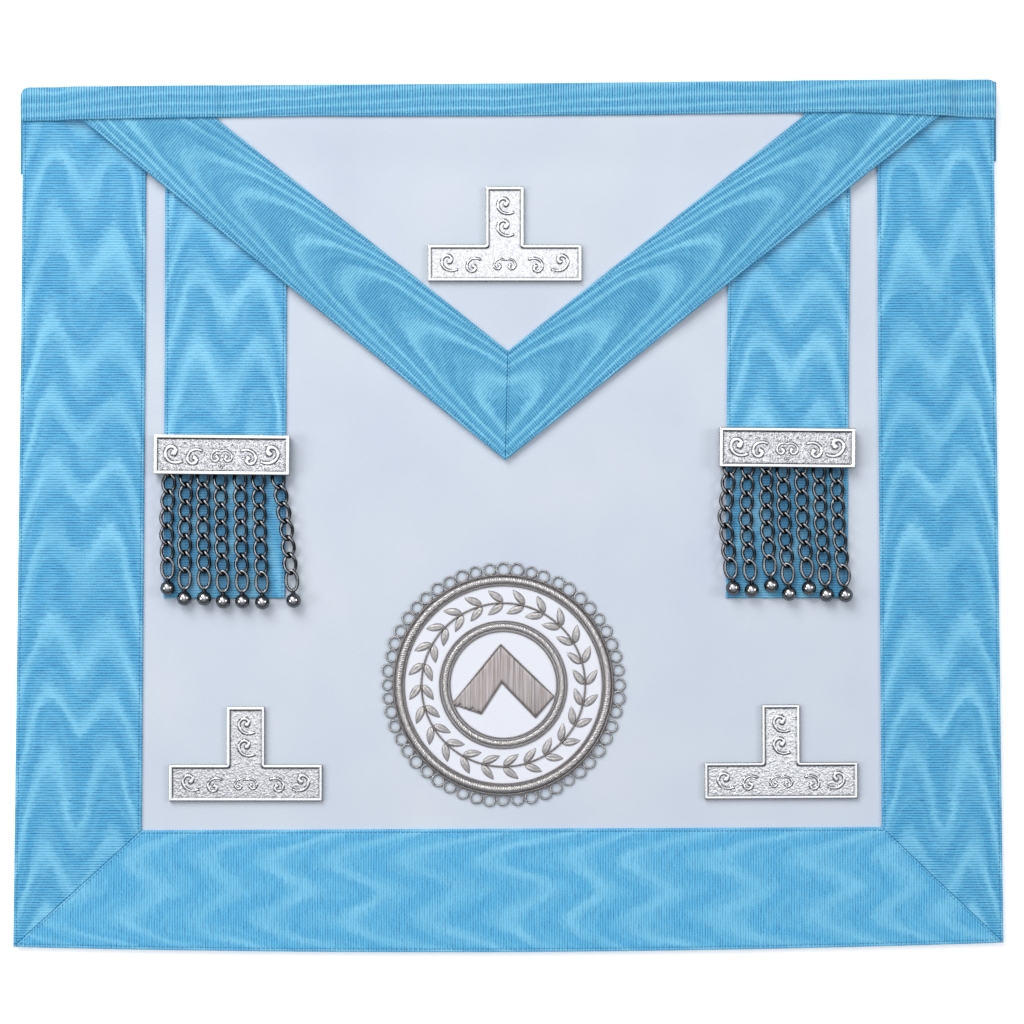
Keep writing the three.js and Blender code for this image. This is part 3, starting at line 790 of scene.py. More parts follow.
class Wardrobe:
    """Turns surfaces into Blender objects and tells the frame about them. Each finish is built once."""

    def __init__(self) -> None:
        """Starts with no materials."""
        self.materials: dict[str, bpy.types.Material] = {}

    def material(self, finish: Finish | Floor) -> bpy.types.Material:
        """Returns the material of a finish, built when it is first asked for."""
        if finish.name not in self.materials:
            self.materials[finish.name] = finish.build()
        return self.materials[finish.name]

    def add(
        self, name: str, surface: Surface, finish: Finish, replaces: Sequence[str] = (), sharp: float = 0.0,
    ) -> bpy.types.Object:
        """Makes a piece of the apron.

        Args:
            name: the piece's name.
            surface: its mesh, in place.
            finish: its finish.
            replaces: the solids that it stands for.
            sharp: the angle in degrees over which an edge stays crisp, or 0 for none.

        Returns:
            The Blender object.
        """
        mesh = bpy.data.meshes.new(name)
        mesh.vertices.add(len(surface.points))
        mesh.vertices.foreach_set("co", surface.points.astype(np.float32).ravel())
        mesh.loops.add(len(surface.corners))
        mesh.loops.foreach_set("vertex_index", surface.corners.astype(np.int32))
        mesh.polygons.add(len(surface.sizes))
        starts = np.concatenate([[0], np.cumsum(surface.sizes)[:-1]]).astype(np.int32)
        mesh.polygons.foreach_set("loop_start", starts)
        mesh.polygons.foreach_set("use_smooth", np.ones(len(surface.sizes), bool))
        mesh.update(calc_edges=True)
        uv = mesh.uv_layers.new(name=WEAVE)
        uv.data.foreach_set("uv", surface.weave[surface.corners].astype(np.float32).ravel())
        tone = mesh.attributes.new(TONE, "FLOAT", "POINT")
        tone.data.foreach_set("value", surface.tone.astype(np.float32))
        if sharp:
            mesh.set_sharp_from_angle(angle=math.radians(sharp))
        mesh.materials.append(self.material(finish))
        obj = bpy.data.objects.new(name, mesh)
        bpy.context.scene.collection.objects.link(obj)
        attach(obj, ROOT)
        if replaces:
            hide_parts(*replaces)
        log.info("%s: %d faces", name, len(surface.sizes))
        return obj

    def repaint(self, node: str, finish: Finish) -> None:
        """Gives a solid that stays as it is a better material.

        Args:
            node: the solid's name.
            finish: its finish.
        """
        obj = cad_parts[node]
        for material_slot in obj.material_slots:
            material_slot.material = self.material(finish)
        tone = obj.data.attributes.new(TONE, "FLOAT", "POINT")
        tone.data.foreach_set("value", np.ones(len(obj.data.vertices), np.float32))


# How the apron lies

def smooth_steps(knots: Sequence[tuple[float, float]], x: Array) -> Array:
    """Eases from knot to knot: the value grows by 3 s squared less 2 s cubed of each step.

    Args:
        knots: rising places, each with its value.
        x: where the value is wanted.

    Returns:
        The values.
    """
    places = np.array([k[0] for k in knots])
    values = np.array([k[1] for k in knots])
    i = np.clip(np.searchsorted(places, x) - 1, 0, len(places) - 2)
    share = np.clip((x - places[i]) / (places[i + 1] - places[i]), 0.0, 1.0)
    eased = share * share * (3.0 - 2.0 * share)
    return values[i] + (values[i + 1] - values[i]) * eased


@dataclass
class Lay:
    """The apron's edges and the heights of its layers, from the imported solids' boxes and a few sizes
    that they don't show. Edges are functions of X or Y."""

    side_taper: float = 4.6 * MM
    inner_taper: float = 2.8 * MM
    border_width: float = 51.15 * MM
    field_shift: float = 1.35 * MM
    hem_ribbon_width: float = 50.8 * MM
    hem_bow: float = 3.0 * MM
    hem_rise: float = 1.8 * MM
    top_rise: float = 3.4 * MM
    band_width: float = 13.8 * MM
    fold_reach: float = 1.5 * MM
    leather: float = 2.0 * MM
    ribbon: float = 1.0 * MM
    flap: float = 1.5 * MM
    flap_half: float = 177.2 * MM
    arm_on_band: float = 56.0 * MM
    gap: float = 0.2 * MM
    drape_inner: float = 60.0 * MM
    drape_outer: float = 75.0 * MM
    belt_drop: float = 17.8 * MM
    belt_rise: float = 5.4 * MM
    belt_width: float = 33.0 * MM
    belt: float = 1.5 * MM
    back_leg: float = 11.0 * MM
    lift_run: float = 80.0 * MM
    stitch_sink: float = 0.1 * MM
    swell: float = 0.12 * MM
    half: float = field(init=False)
    height: float = field(init=False)

    def __post_init__(self) -> None:
        """Reads the apron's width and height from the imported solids."""
        low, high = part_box("border_ribbon_left"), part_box("border_ribbon_right")
        self.half = (high[1][0] - low[0][0]) / 2
        self.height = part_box("top_band")[1][1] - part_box("border_ribbon_hem")[0][1]

    def side_x(self, y: Array) -> Array:
        """The outer edge's distance from the middle."""
        return self.half - self.side_taper * (y / self.height + 0.5)

    def inner_x(self, y: Array) -> Array:
        """The side ribbons' inner edge, before the field's shift."""
        return self.half - self.border_width - self.inner_taper * (y / self.height + 0.5)

    def hem_y(self, x: Array) -> Array:
        """The bowed lower edge."""
        share = x / self.half
        return -self.height / 2 + self.hem_bow * share**2 + self.hem_rise / 2 * share

    def hem_inner_y(self, x: Array) -> Array:
        """The hem ribbon's inner edge."""
        return -self.height / 2 + self.hem_ribbon_width + self.hem_rise / 2 * x / self.half

    def top_y(self, x: Array) -> Array:
        """The apron's upper edge."""
        return self.height / 2 - self.top_rise / 2 * (1 - x / self.half)

    def under_band_y(self, x: Array) -> Array:
        """Where sheets end inside the band, just short of its fold."""
        return self.top_y(x) - self.ribbon - self.fold_reach - self.gap

    def band_edge_y(self, x: Array) -> Array:
        """The band's lower edge, a little deeper at its ends."""
        shares = np.interp(x / self.half, [-1.0, -0.4, 0.0, 0.69, 1.0], [1.04, 0.97, 1.0, 1.0, 1.2])
        return self.top_y(x) - self.band_width * shares

    def lift(self, y: Array) -> Array:
        """How far the belt and the band's back leg hold the panel off the floor.

        Args:
            y: places up the apron.

        Returns:
            Heights, which ease up from 0 to the belt and again to the band.
        """
        middle = self.top_y(0.0) - self.belt_drop
        belt_low = middle - self.belt_rise / 2 - self.belt_width / 2
        leg_low = self.top_y(-self.half) - self.back_leg
        on_belt = self.belt + self.gap
        on_leg = on_belt + self.ribbon + self.gap
        return smooth_steps([(belt_low - self.lift_run, 0.0), (belt_low, on_belt), (leg_low, on_leg)], y)

    def ripple(self, x: Array, y: Array) -> Array:
        """The faint swell that all the sheets share: three crossed waves of long and unequal length.

        Args:
            x: places across.
            y: places up.

        Returns:
            Heights about 0.
        """
        waves = (
            np.sin(x / 0.031 + 1.3 * np.sin(y / 0.055))
            + np.sin(y / 0.037 + 0.9 * np.sin(x / 0.043) + 1.0)
            + np.sin((x + y) / 0.026 + 2.0)
        )
        return self.swell * waves / 3.0

    def border_floor(self, x: Array, y: Array) -> Array:
        """The underside of the ribbons on the panel."""
        return self.lift(y) + self.leather + self.gap

    def flap_floor(self, x: Array, y: Array) -> Array:
        """The underside of the flap, higher over the upright ribbons than between them."""
        low = self.leather + self.gap
        knots = [(self.drape_inner, low), (self.drape_outer, low + self.ribbon + self.gap)]
        return self.lift(y) + smooth_steps(knots, np.abs(x))

    def flap_ribbon_floor(self, x: Array, y: Array) -> Array:
        """The underside of the ribbons on the flap."""
        return self.flap_floor(x, y) + self.flap + self.gap

    def ribbon_top(self, floor: Height) -> Height:
        """The height at which stitches lie on a ribbon with this underside, a little below its face."""
        return lambda x, y: floor(x, y) + self.ripple(x, y) + self.ribbon - self.stitch_sink


def flat_weave(x: Array, y: Array, share: Array) -> Array:
    """Cloth coordinates of leather, which has no threads to follow: the places themselves."""
    return np.stack([x, y], -1)


def spaced(length: float, step: float, edges: Sequence[float]) -> Array:
    """Places along a length, from 0 to 1: close together at both ends and even between.

    Args:
        length: the length in metres.
        step: the distance between the even places.
        edges: distances from each end of the places that shape the rolled edge.

    Returns:
        The places as shares.
    """
    near = np.array(edges)
    middle = np.linspace(near[-1], length - near[-1], max(2, round((length - 2 * near[-1]) / step)))
    return np.concatenate([near[:-1], middle, (length - near[:-1])[::-1]]) / length


EDGE_PLACES = tuple(MM * d for d in (0.0, 0.06, 0.2, 0.45, 0.8, 1.05, 1.3, 1.55, 1.9, 2.6))


@dataclass
class SheetMaker:
    """Makes a cloth or leather sheet between two edges.

    A point is the outer edge's point plus a share of the way to the inner edge's. Its top is the floor
    plus the thickness, rounded off towards the edges by a quarter circle, less a shallow channel under
    the stitches, plus the swell that all sheets share.
    """

    lay: Lay
    step: float = 2.2 * MM
    roll: float = 0.5 * MM
    channel_at: float = 1.3 * MM
    channel_width: float = 0.3 * MM

    def make(
        self,
        outer: Edge,
        inner: Edge,
        floor: Height,
        thickness: float,
        weave: Callable[[Array, Array, Array], Array],
        channel: float = 0.14 * MM,
    ) -> Surface:
        """Makes the sheet.

        Args:
            outer: the outer edge: places for shares of its length.
            inner: the inner edge.
            floor: the height of the underside.
            thickness: the sheet's own.
            weave: cloth coordinates from x, y and the share across.
            channel: depth of the stitched channel.

        Returns:
            The closed sheet.
        """
        ends = np.array([0.0, 0.5, 1.0])
        a, b = outer(ends), inner(ends)
        width = float(np.linalg.norm(b[1] - a[1]))
        length = float(np.linalg.norm(a[2] - a[0]))
        s = spaced(width, self.step, EDGE_PLACES)
        t = spaced(length, self.step, EDGE_PLACES)
        first, second = outer(t), inner(t)
        plan = first[:, None] + (second - first)[:, None] * s[None, :, None]
        x, y = plan[..., 0], plan[..., 1]
        from_side = np.minimum(s, 1 - s)[None, :] * width
        from_end = np.minimum(t, 1 - t)[:, None] * length
        edge = np.minimum(from_side, from_end)
        round_off = np.sqrt(1 - (1 - np.clip(edge / self.roll, 0, 1)) ** 2)
        groove = np.exp(-(((from_side - self.channel_at) / self.channel_width) ** 2)) * channel
        middle = floor(x, y) + self.lay.ripple(x, y) + thickness / 2
        top = middle + thickness / 2 * round_off - groove
        bottom = middle - thickness / 2 * round_off
        top = np.where(edge <= 0, middle, top)
        bottom = np.where(edge <= 0, middle, bottom)
        cloth = weave(x, y, np.broadcast_to(s[None, :], x.shape))
        return self.facing_up(np.stack([x, y, top], -1), np.stack([x, y, bottom], -1), cloth)

    @staticmethod
    def facing_up(top: Array, bottom: Array, cloth: Array) -> Surface:
        """Closes the two grids, turned so that the top faces up.

        Args:
            top: places of the upper side.
            bottom: places of the underside.
            cloth: their cloth coordinates.

        Returns:
            The closed sheet.
        """
        right = top[0, -1, :2] - top[0, 0, :2]
        up = top[-1, 0, :2] - top[0, 0, :2]
        if right[0] * up[1] - right[1] * up[0] < 0:
            top, bottom, cloth = top[:, ::-1], bottom[:, ::-1], cloth[:, ::-1]
        return shell(top, bottom, cloth)


def straight(*places: Sequence[float], bend: float = 0.5) -> Edge:
    """An edge that runs straight from place to place.

    Args:
        places: two places, or three.
        bend: the share at which an edge of three places reaches its second.

    Returns:
        The edge's places for shares of its length.
    """
    knots = [0.0, 1.0] if len(places) == 2 else [0.0, bend, 1.0]
    points = np.array(places, float)
    return lambda share: np.stack([np.interp(share, knots, points[:, k]) for k in (0, 1)], -1)


@dataclass
class Stitcher:
    """Sews a line of stitches: each is a short thread that rises out of the cloth and dips back."""

    length: float = 1.5 * MM
    pitch: float = 1.9 * MM
    radius: float = 0.15 * MM
    sides: int = 4

    def sew(self, start: Sequence[float], end: Sequence[float], top: Height) -> Surface:
        """Sews along a straight line.

        Args:
            start: the line's first place.
            end: its last.
            top: the cloth's height.

        Returns:
            The stitches as one surface.
        """
        a, b = np.array(start, float), np.array(end, float)
        run = b - a
        distance = float(np.linalg.norm(run))
        count = max(2, int(distance / self.pitch))
        share = (np.arange(count) + 0.5) / count
        plan = a + run * share[:, None]
        share_along = np.linspace(-0.5, 0.5, 6)
        arch = self.radius * (0.9 - 3.2 * share_along**2)
        path = np.stack([share_along * self.length, np.zeros(6), arch], 1)
        thick = self.radius * np.sqrt(np.clip(1.05 - (2 * share_along) ** 2, 0.05, 1))
        thread = tube(path, thick, self.sides, closed=False)
        angle = math.atan2(run[1], run[0])
        places = np.column_stack([plan, top(plan[:, 0], plan[:, 1])])
        return thread.copies(upright_turns(np.full(count, angle)), places)

    def lines(self, ends: Sequence[tuple], top: Height) -> Surface:
        """Sews a line between each pair of places, and returns them all as one surface."""
        return Surface.joined([self.sew(start, end, top) for start, end in ends])


# Sub-assemblies

@dataclass
class Panel:
    """The white leather panel."""

    lay: Lay
    wardrobe: Wardrobe
    overhang: float = 0.5 * MM

    def build(self) -> None:
        """Builds the panel: its side edges are joined by straight lines that follow the hem's bow."""
        lay = self.lay

        def edge(hand: float) -> Edge:
            """One side edge, from the hem to inside the band."""
            foot = hand * (lay.side_x(-lay.height / 2) - self.overhang)
            head = hand * (lay.side_x(lay.height / 2) - self.overhang)
            return straight(
                (foot, float(lay.hem_y(foot)) + self.overhang), (head, float(lay.under_band_y(head))),
            )

        maker = SheetMaker(lay, step=3.8 * MM, roll=0.9 * MM)
        sheet = maker.make(edge(1), edge(-1), lambda x, y: lay.lift(y), lay.leather, flat_weave, channel=0.0)
        points = sheet.points
        span = (points[:, 1] + lay.height / 2) / lay.height
        bow = lay.hem_bow * ((points[:, 0] / lay.half) ** 2 - 1) * np.clip(1 - span * 3, 0, 1)
        points[:, 1] += bow
        obj = self.wardrobe.add("leather_panel", sheet, LEATHER, ["apron_body"])


@dataclass
class Border:
    """The three watered ribbons round the panel, mitred at the lower corners, with their stitches."""

    lay: Lay
    wardrobe: Wardrobe
    mitre_gap: float = 0.1 * MM
    stitch_inset: float = 1.3 * MM
    mitre_inset: float = 0.65 * MM
    side_fill: float = 0.93
    hem_fill: float = 0.87

    def outer_corner(self, hand: float) -> Array:
        """The apron's lower corner on one side."""
        y = self.lay.hem_y(hand * self.lay.half)
        return np.array([hand * self.lay.side_x(y), y])

    def inner_corner(self, hand: float) -> Array:
        """The corner of the white field on one side."""
        lay = self.lay
        x = hand * lay.inner_x(-lay.height / 2 + lay.hem_ribbon_width) + lay.field_shift
        return np.array([x, lay.hem_inner_y(x)])

    def side(self, hand: float, name: str) -> None:
        """Builds one side ribbon, whose ribs run across.

        Args:
            hand: -1 for the left side, 1 for the right.
            name: the side's name.
        """
        lay = self.lay
        outer_top = hand * lay.side_x(lay.height / 2)
        inner_top = hand * lay.inner_x(lay.height / 2) + lay.field_shift
        outer_foot, inner_foot = self.outer_corner(hand), self.inner_corner(hand)
        outer_head, inner_head = (np.array([x, lay.under_band_y(x)]) for x in (outer_top, inner_top))

        def weave(x: Array, y: Array, share: Array) -> Array:
            """The ribbon runs up the apron."""
            return np.stack([2 * share - 1, y + 0.4], -1)

        outer, inner = straight(outer_foot, outer_head), straight(inner_foot, inner_head)
        sheet = SheetMaker(lay).make(outer, inner, lay.border_floor, lay.ribbon, weave)
        node = f"border_ribbon_{name}"
        obj = self.wardrobe.add(f"side_ribbon_{name}", sheet, SIDE_RIBBON, [node])
        inset = np.array([hand * self.stitch_inset, 0.0])
        ends = [(outer_foot - inset, outer_head - inset), (inner_foot + inset, inner_head + inset)]
        sewn = Stitcher().lines(ends, lay.ribbon_top(lay.border_floor))
        self.wardrobe.add(f"side_stitches_{name}", sewn, THREAD)

    def hem(self) -> None:
        """Builds the hem ribbon, whose ribs run up and down and whose lower edge bows."""
        lay = self.lay
        left, right = self.outer_corner(-1), self.outer_corner(1)
        inner_left, inner_right = self.inner_corner(-1), self.inner_corner(1)
        gap = np.array([self.mitre_gap, 0.0])

        def lower(share: Array) -> Array:
            """The bowed lower edge."""
            x = left[0] + gap[0] + (right[0] - left[0] - 2 * gap[0]) * np.asarray(share)
            return np.stack([x, lay.hem_y(x)], -1)

        def weave(x: Array, y: Array, share: Array) -> Array:
            """The ribbon runs across the apron, from its right end."""
            return np.stack([1 - 2 * share, 0.6 - x], -1)

        upper = straight(inner_left + gap, inner_right - gap)
        sheet = SheetMaker(lay).make(lower, upper, lay.border_floor, lay.ribbon, weave)
        obj = self.wardrobe.add("hem_ribbon", sheet, HEM_RIBBON, ["border_ribbon_hem"])
        up = np.array([0.0, self.stitch_inset])
        corners = lower(np.linspace(0, 1, 9)) + up
        ends = [(inner_left - up, inner_right - up), *zip(corners[:-1], corners[1:])]
        for outer, inner, hand in ((left, inner_left, -1), (right, inner_right, 1)):
            beside = np.array([-hand, -1.0]) * self.mitre_inset
            ends.append((outer + beside * [2, 0], inner + beside))
        sewn = Stitcher().lines(ends, lay.ribbon_top(lay.border_floor))
        self.wardrobe.add("hem_stitches", sewn, THREAD)

    def build(self) -> None:
        """Builds the border."""
        self.side(-1, "left")
        self.side(1, "right")
        self.hem()


@dataclass
class Flap:
    """The pointed flap and its two ribbons, which meet in a mitre at the point."""

    lay: Lay
    wardrobe: Wardrobe
    depth: float = 141.2 * MM
    mitre: float = 45.0 * MM
    point_x: float = -1.2 * MM
    mitre_lean: float = 1.0 * MM
    inset: float = 0.6 * MM
    seam: float = 0.04 * MM
    tip: float = 0.01 * MM
    fill: float = 0.55
    stitch_inset: float = 1.3 * MM
    stitch_start: float = 2.0 * MM
    mitre_inset: float = 0.9 * MM

    def places(self) -> tuple[float, Array, Array]:
        """The height of the band's edge, the flap's point and the inner end of the mitre."""
        top = float(self.lay.band_edge_y(0.0))
        point = np.array([self.point_x, top - self.depth])
        return top, point, point + [self.mitre_lean, self.mitre]

    def build(self) -> None:
        """Builds the flap's leather and ribbons."""
        lay = self.lay
        top, point, _ = self.places()
        shoulder = lay.flap_half - self.inset
        run = math.hypot(shoulder, top - point[1])

        def edge(hand: float) -> Edge:
            """One edge: from the point to the shoulder, and straight up inside the band."""
            head = float(lay.under_band_y(hand * shoulder))
            places = (point + [hand * self.tip, self.inset], (hand * shoulder, top), (hand * shoulder, head))
            return straight(*places, bend=run / (run + lay.band_width))

        maker = SheetMaker(lay, step=3.4 * MM, roll=0.6 * MM)
        sheet = maker.make(edge(1), edge(-1), lay.flap_floor, lay.flap, flat_weave, channel=0.0)
        obj = self.wardrobe.add("flap_leather", sheet, LEATHER, ["flap"])
        size = (2 * shoulder, float(lay.under_band_y(0.0)) - point[1])
        for hand, name in ((-1, "left"), (1, "right")):
            self.ribbon(hand, name)

    def ribbon(self, hand: float, name: str) -> None:
        """Builds one arm: straight edges from the mitre to the band, and on under it.

        Args:
            hand: -1 for the left arm, 1 for the right.
            name: the arm's side.
        """
        lay = self.lay
        top, point, inner_point = self.places()
        shift = np.array([hand * self.seam, 0.0])
        outer, inner = hand * lay.flap_half, hand * (lay.flap_half - lay.arm_on_band)
        slope = np.array([outer, top]) - point
        along = slope / np.linalg.norm(slope)
        normal = np.array([-along[1], along[0]]) * hand
        start = float(point @ normal)
        width = float(inner_point @ normal) - start

        def weave(x: Array, y: Array, share: Array) -> Array:
            """The ribbon runs along the arm's slope."""
            across = (x * normal[0] + y * normal[1] - start) / width
            return np.stack([2 * across - 1, x * along[0] + y * along[1] + 0.5], -1)

        outer_head, inner_head = (float(lay.under_band_y(x)) for x in (outer, inner))
        bend = 1 - (outer_head - top) / float(np.linalg.norm(slope))
        sheet = SheetMaker(lay).make(
            straight(point + shift, (outer, top), (outer, outer_head), bend=bend),
            straight(inner_point + shift, (inner, top), (inner, inner_head), bend=bend),
            lay.flap_ribbon_floor, lay.ribbon, weave,
        )
        obj = self.wardrobe.add(f"flap_arm_{name}", sheet, FLAP_RIBBON, [f"flap_ribbon_{name}"])

        side = normal * self.stitch_inset * np.sign(width)
        ends = [
            (point + shift + side + along * self.stitch_start, (outer, top) + side),
            (inner_point + shift - side, (inner, top) - side),
        ]
        if hand > 0:
            beside = np.array([self.mitre_inset, 0.0])
            ends.append((point + beside, inner_point + beside))
        sewn = Stitcher().lines(ends, lay.ribbon_top(lay.flap_ribbon_floor))
        self.wardrobe.add(f"flap_stitches_{name}", sewn, THREAD)


@dataclass
class TopBand:
    """The ribbed band folded over the top edge: a rounded U carried across the apron over what lies
    beneath it. end_places are the sections next to each end, in millimetres from it."""

    lay: Lay
    wardrobe: Wardrobe
    overhang: float = 0.6 * MM
    step: float = 2.5 * MM
    seam_gap: float = 0.3 * MM
    corner: float = 2.6 * MM
    crease_at: float = 2.2 * MM
    crease_width: float = 0.4 * MM
    crease: float = 0.45 * MM
    end_places: tuple[float, ...] = (0.0, 0.1, 0.25, 0.5, 0.9, 1.3, 1.8, 2.2, 2.6, 3.2)
    even_from: float = 4.8 * MM
    even_places: int = 250
    lip_points: int = 5
    fold_cloth: float = 8.0 * MM
    stitch_inset: float = 1.2 * MM
    stitch_sink: float = 0.05 * MM

    def rise(self, x: Array) -> Array:
        """The height of the front leg's underside over the lifted panel.

        Args:
            x: places across.

        Returns:
            Heights, which ease from layer to layer.
        """
        lay = self.lay
        on_border = lay.leather + 2 * lay.gap + lay.ribbon
        on_low = lay.leather + 2 * lay.gap + lay.flap
        on_high = on_low + lay.ribbon + lay.gap
        on_ribbon = on_high + lay.ribbon + lay.gap
        inner = lay.flap_half - lay.arm_on_band
        knots = [
            (lay.drape_inner, on_low), (lay.drape_outer, on_high), (inner - 2 * self.step, on_high),
            (inner - self.seam_gap, on_ribbon), (lay.flap_half + self.seam_gap, on_ribbon),
            (lay.flap_half + 4 * self.step, on_border),
        ]
        return smooth_steps(knots, np.abs(x))

    def skin(self, back: Array, top: Array, edge: Array, low: Array, roof: Array) -> Array:
        """One skin of the U, from the back leg's edge round the fold to the front leg's edge. The fold is
        half an ellipse: y = top - reach + reach cos a, z = middle + half the height times sin a.

        Args:
            back: the back leg's edge in each section.
            top: the fold's highest Y.
            edge: the front leg's edge.
            low: the back leg's height.
            roof: the front leg's height.

        Returns:
            points by sections by 2: Y and Z.
        """
        shares = np.linspace(0.0, 1.0, 5)[:, None]
        turn = np.radians(np.linspace(-90, 90, 13))[1:-1, None]
        reach = self.lay.fold_reach
        heel = top - reach
        back_leg = (back + (heel - back) * shares, low + 0 * shares)
        fold = (heel + reach * np.cos(turn), (low + roof) / 2 + (roof - low) / 2 * np.sin(turn))
        front_leg = (heel + (edge - heel) * shares, roof + 0 * shares)
        return np.concatenate([np.stack(part, -1) for part in (back_leg, fold, front_leg)])

    def sections(self, x: Array, end: float) -> Array:
        """The band's sections: outer skin, rounded front edge, inner skin and rounded back edge.

        Args:
            x: their places.
            end: the band's half length.

        Returns:
            sections by points by 3 places.
        """
        lay = self.lay
        half = lay.ribbon / 2
        from_end = end - np.abs(x)
        drop = self.corner * (1 - np.sqrt(1 - (1 - np.clip(from_end / self.corner, 0, 1)) ** 2))
        crease = self.crease * np.exp(-(((from_end - self.crease_at) / self.crease_width) ** 2))
        on_belt = lay.belt + lay.gap
        front_floor = on_belt + lay.ribbon + lay.gap + self.rise(x)
        front_middle = front_floor + half + lay.ripple(x, lay.top_y(x)) - crease
        thick = half * np.sqrt(1 - (1 - np.clip(from_end / half, 0.02, 1)) ** 2)
        back_middle = on_belt + half + 0 * x
        back = lay.top_y(x) - lay.back_leg + lay.gap + half
        edge = lay.band_edge_y(x) + half
        top = lay.top_y(x) - drop
        outer = self.skin(back, top, edge, back_middle - thick, front_middle + thick)
        inner = self.skin(back, top - lay.ribbon, edge, back_middle + thick, front_middle - thick)
        turn = np.radians(np.linspace(90, -90, self.lip_points + 2))[1:-1, None]
        lip = np.stack([edge - half * np.cos(turn), front_middle + thick * np.sin(turn)], -1)
        heel = np.stack([back - half * np.cos(turn), back_middle + thick * np.sin(turn)], -1)
        loop = np.concatenate([outer, lip, inner[::-1], heel]).transpose(1, 0, 2)
        return np.concatenate([np.broadcast_to(x[:, None, None], (*loop.shape[:2], 1)), loop], -1)

    def build(self) -> None:
        """Builds the band as one closed skin and sews its lower edge."""
        lay = self.lay
        end = float(lay.side_x(lay.height / 2)) + self.overhang
        near = np.array(self.end_places) * MM
        even = np.linspace(-end + self.even_from, end - self.even_from, self.even_places)
        x = np.concatenate([near - end, even, end - near[::-1]])
        ring = self.sections(x, end)
        rows, columns = ring.shape[:2]
        faces = grid_faces(rows, columns, wrap_columns=True)
        skin = columns // 2 - self.lip_points
        k = np.arange(skin - 1)
        far = skin + self.lip_points + (skin - 1 - k)
        strip = np.stack([far, far - 1, k + 1, k], 1)
        lip = np.arange(skin - 1, skin + self.lip_points + 1)[::-1]
        heel = np.concatenate([np.arange(columns - self.lip_points - 1, columns), [0]])[::-1]
        caps = [strip, strip[:, ::-1] + (rows - 1) * columns]
        length = run_along(ring[rows // 2])
        across = np.broadcast_to((length / length[skin] * 2 - 1)[None, :], (rows, columns))
        weave = np.stack([across, np.broadcast_to(x[:, None] + 0.7, across.shape)], -1).reshape(-1, 2)
        ends = [lip, heel, lip[::-1] + (rows - 1) * columns, heel[::-1] + (rows - 1) * columns]
        sides = np.concatenate([faces, *caps])
        corners = np.concatenate([sides.ravel(), *ends])
        sizes = np.concatenate([np.full(len(sides), 4), [len(face) for face in ends]])
        surface = Surface(ring.reshape(-1, 3), corners, sizes, weave, np.ones(rows * columns))
        obj = self.wardrobe.add("waist_band", surface, BAND_RIBBON, ["top_band"])
        self.stitches(end)

    def stitches(self, end: float) -> None:
        """Sews the front leg along its lower edge, in short straight lines.

        Args:
            end: the band's half length.
        """
        lay = self.lay

        def cloth(x: Array, y: Array) -> Array:
            """The height at which the stitches lie on the front leg."""
            lift = lay.belt + lay.ribbon + 2 * lay.gap
            return lift + self.rise(x) + lay.ribbon + lay.ripple(x, lay.top_y(x)) - self.stitch_sink

        marks = np.linspace(-end + 2 * MM, end - 2 * MM, 17)
        line = np.stack([marks, lay.band_edge_y(marks) + self.stitch_inset], 1)
        self.wardrobe.add("band_stitches", Stitcher().lines([*zip(line[:-1], line[1:])], cloth), THREAD)


@dataclass
class Belt:
    """The belt folded flat behind: two straps and the clasp between them."""

    lay: Lay
    wardrobe: Wardrobe
    clasp_half: float = 22.0 * MM
    seam_gap: float = 0.3 * MM
    past_side: float = 1.6 * MM

    def build(self) -> None:
        """Builds the straps and dresses the clasp."""
        lay = self.lay
        middle = float(lay.top_y(0.0)) - lay.belt_drop
        maker = SheetMaker(Lay(swell=0.0), step=2.6 * MM)

        def weave(x: Array, y: Array, share: Array) -> Array:
            """The webbing runs across the apron."""
            return np.stack([2 * share - 1, x], -1)

        parts = []
        for hand in (-1, 1):
            start = hand * (self.clasp_half + self.seam_gap)
            end = hand * (float(lay.side_x(middle)) + self.past_side)
            lower, upper = (self.edge(middle, start, end, side) for side in (-1, 1))
            parts.append(maker.make(lower, upper, lambda x, y: 0 * x, lay.belt, weave))
        nodes = ["belt_strap_left", "belt_strap_right"]
        obj = self.wardrobe.add("belt_straps", Surface.joined(parts), WEBBING, nodes)
        length = 2 * (float(lay.side_x(middle)) - self.clasp_half)
        self.wardrobe.repaint("belt_clasp", CLASP_METAL)

    def edge(self, middle: float, start: float, end: float, side: float) -> Edge:
        """A strap's lower or upper edge, which climbs a little from left to right.

        Args:
            middle: the belt's height in the middle of the apron.
            start: where the edge starts.
            end: where it ends.
            side: -1 for the lower edge, 1 for the upper one.

        Returns:
            The edge.
        """
        lay = self.lay
        off = side * lay.belt_width / 2
        return straight(*((x, middle + lay.belt_rise / 2 * x / lay.half + off) for x in (start, end)))


@dataclass(frozen=True)
class Scroll:
    """One scroll of a cast field: its eye's place as shares of the field's length and width, its size
    beside the largest, whether it is mirrored across or upright, and a turn in degrees."""

    x: float
    y: float
    size: float = 1.0
    hand: float = 1.0
    flip: float = 1.0
    turn: float = 0.0


HALF_FIELD = (
    Scroll(-0.38, 0.1),
    Scroll(-0.215, -0.15, 0.87, flip=-1),
    Scroll(-0.042, -0.1, 0.66, -1, turn=180),
)
FIELD_SCROLLS = HALF_FIELD + tuple(replace(s, x=-s.x, hand=-s.hand) for s in HALF_FIELD)
UPRIGHT_SCROLLS = (Scroll(0.0, 0.36), Scroll(0.0, 0.76))


def cells_between(places: Sequence[float], cell: float) -> Array:
    """Grid places about a cell apart, which meet each of the given places.

    Args:
        places: rising places.
        cell: the distance between grid places.

    Returns:
        All the grid's places.
    """
    runs = [np.linspace(a, b, round((b - a) / cell)) for a, b in zip(places[:-1], places[1:])]
    return np.unique(np.concatenate(runs))


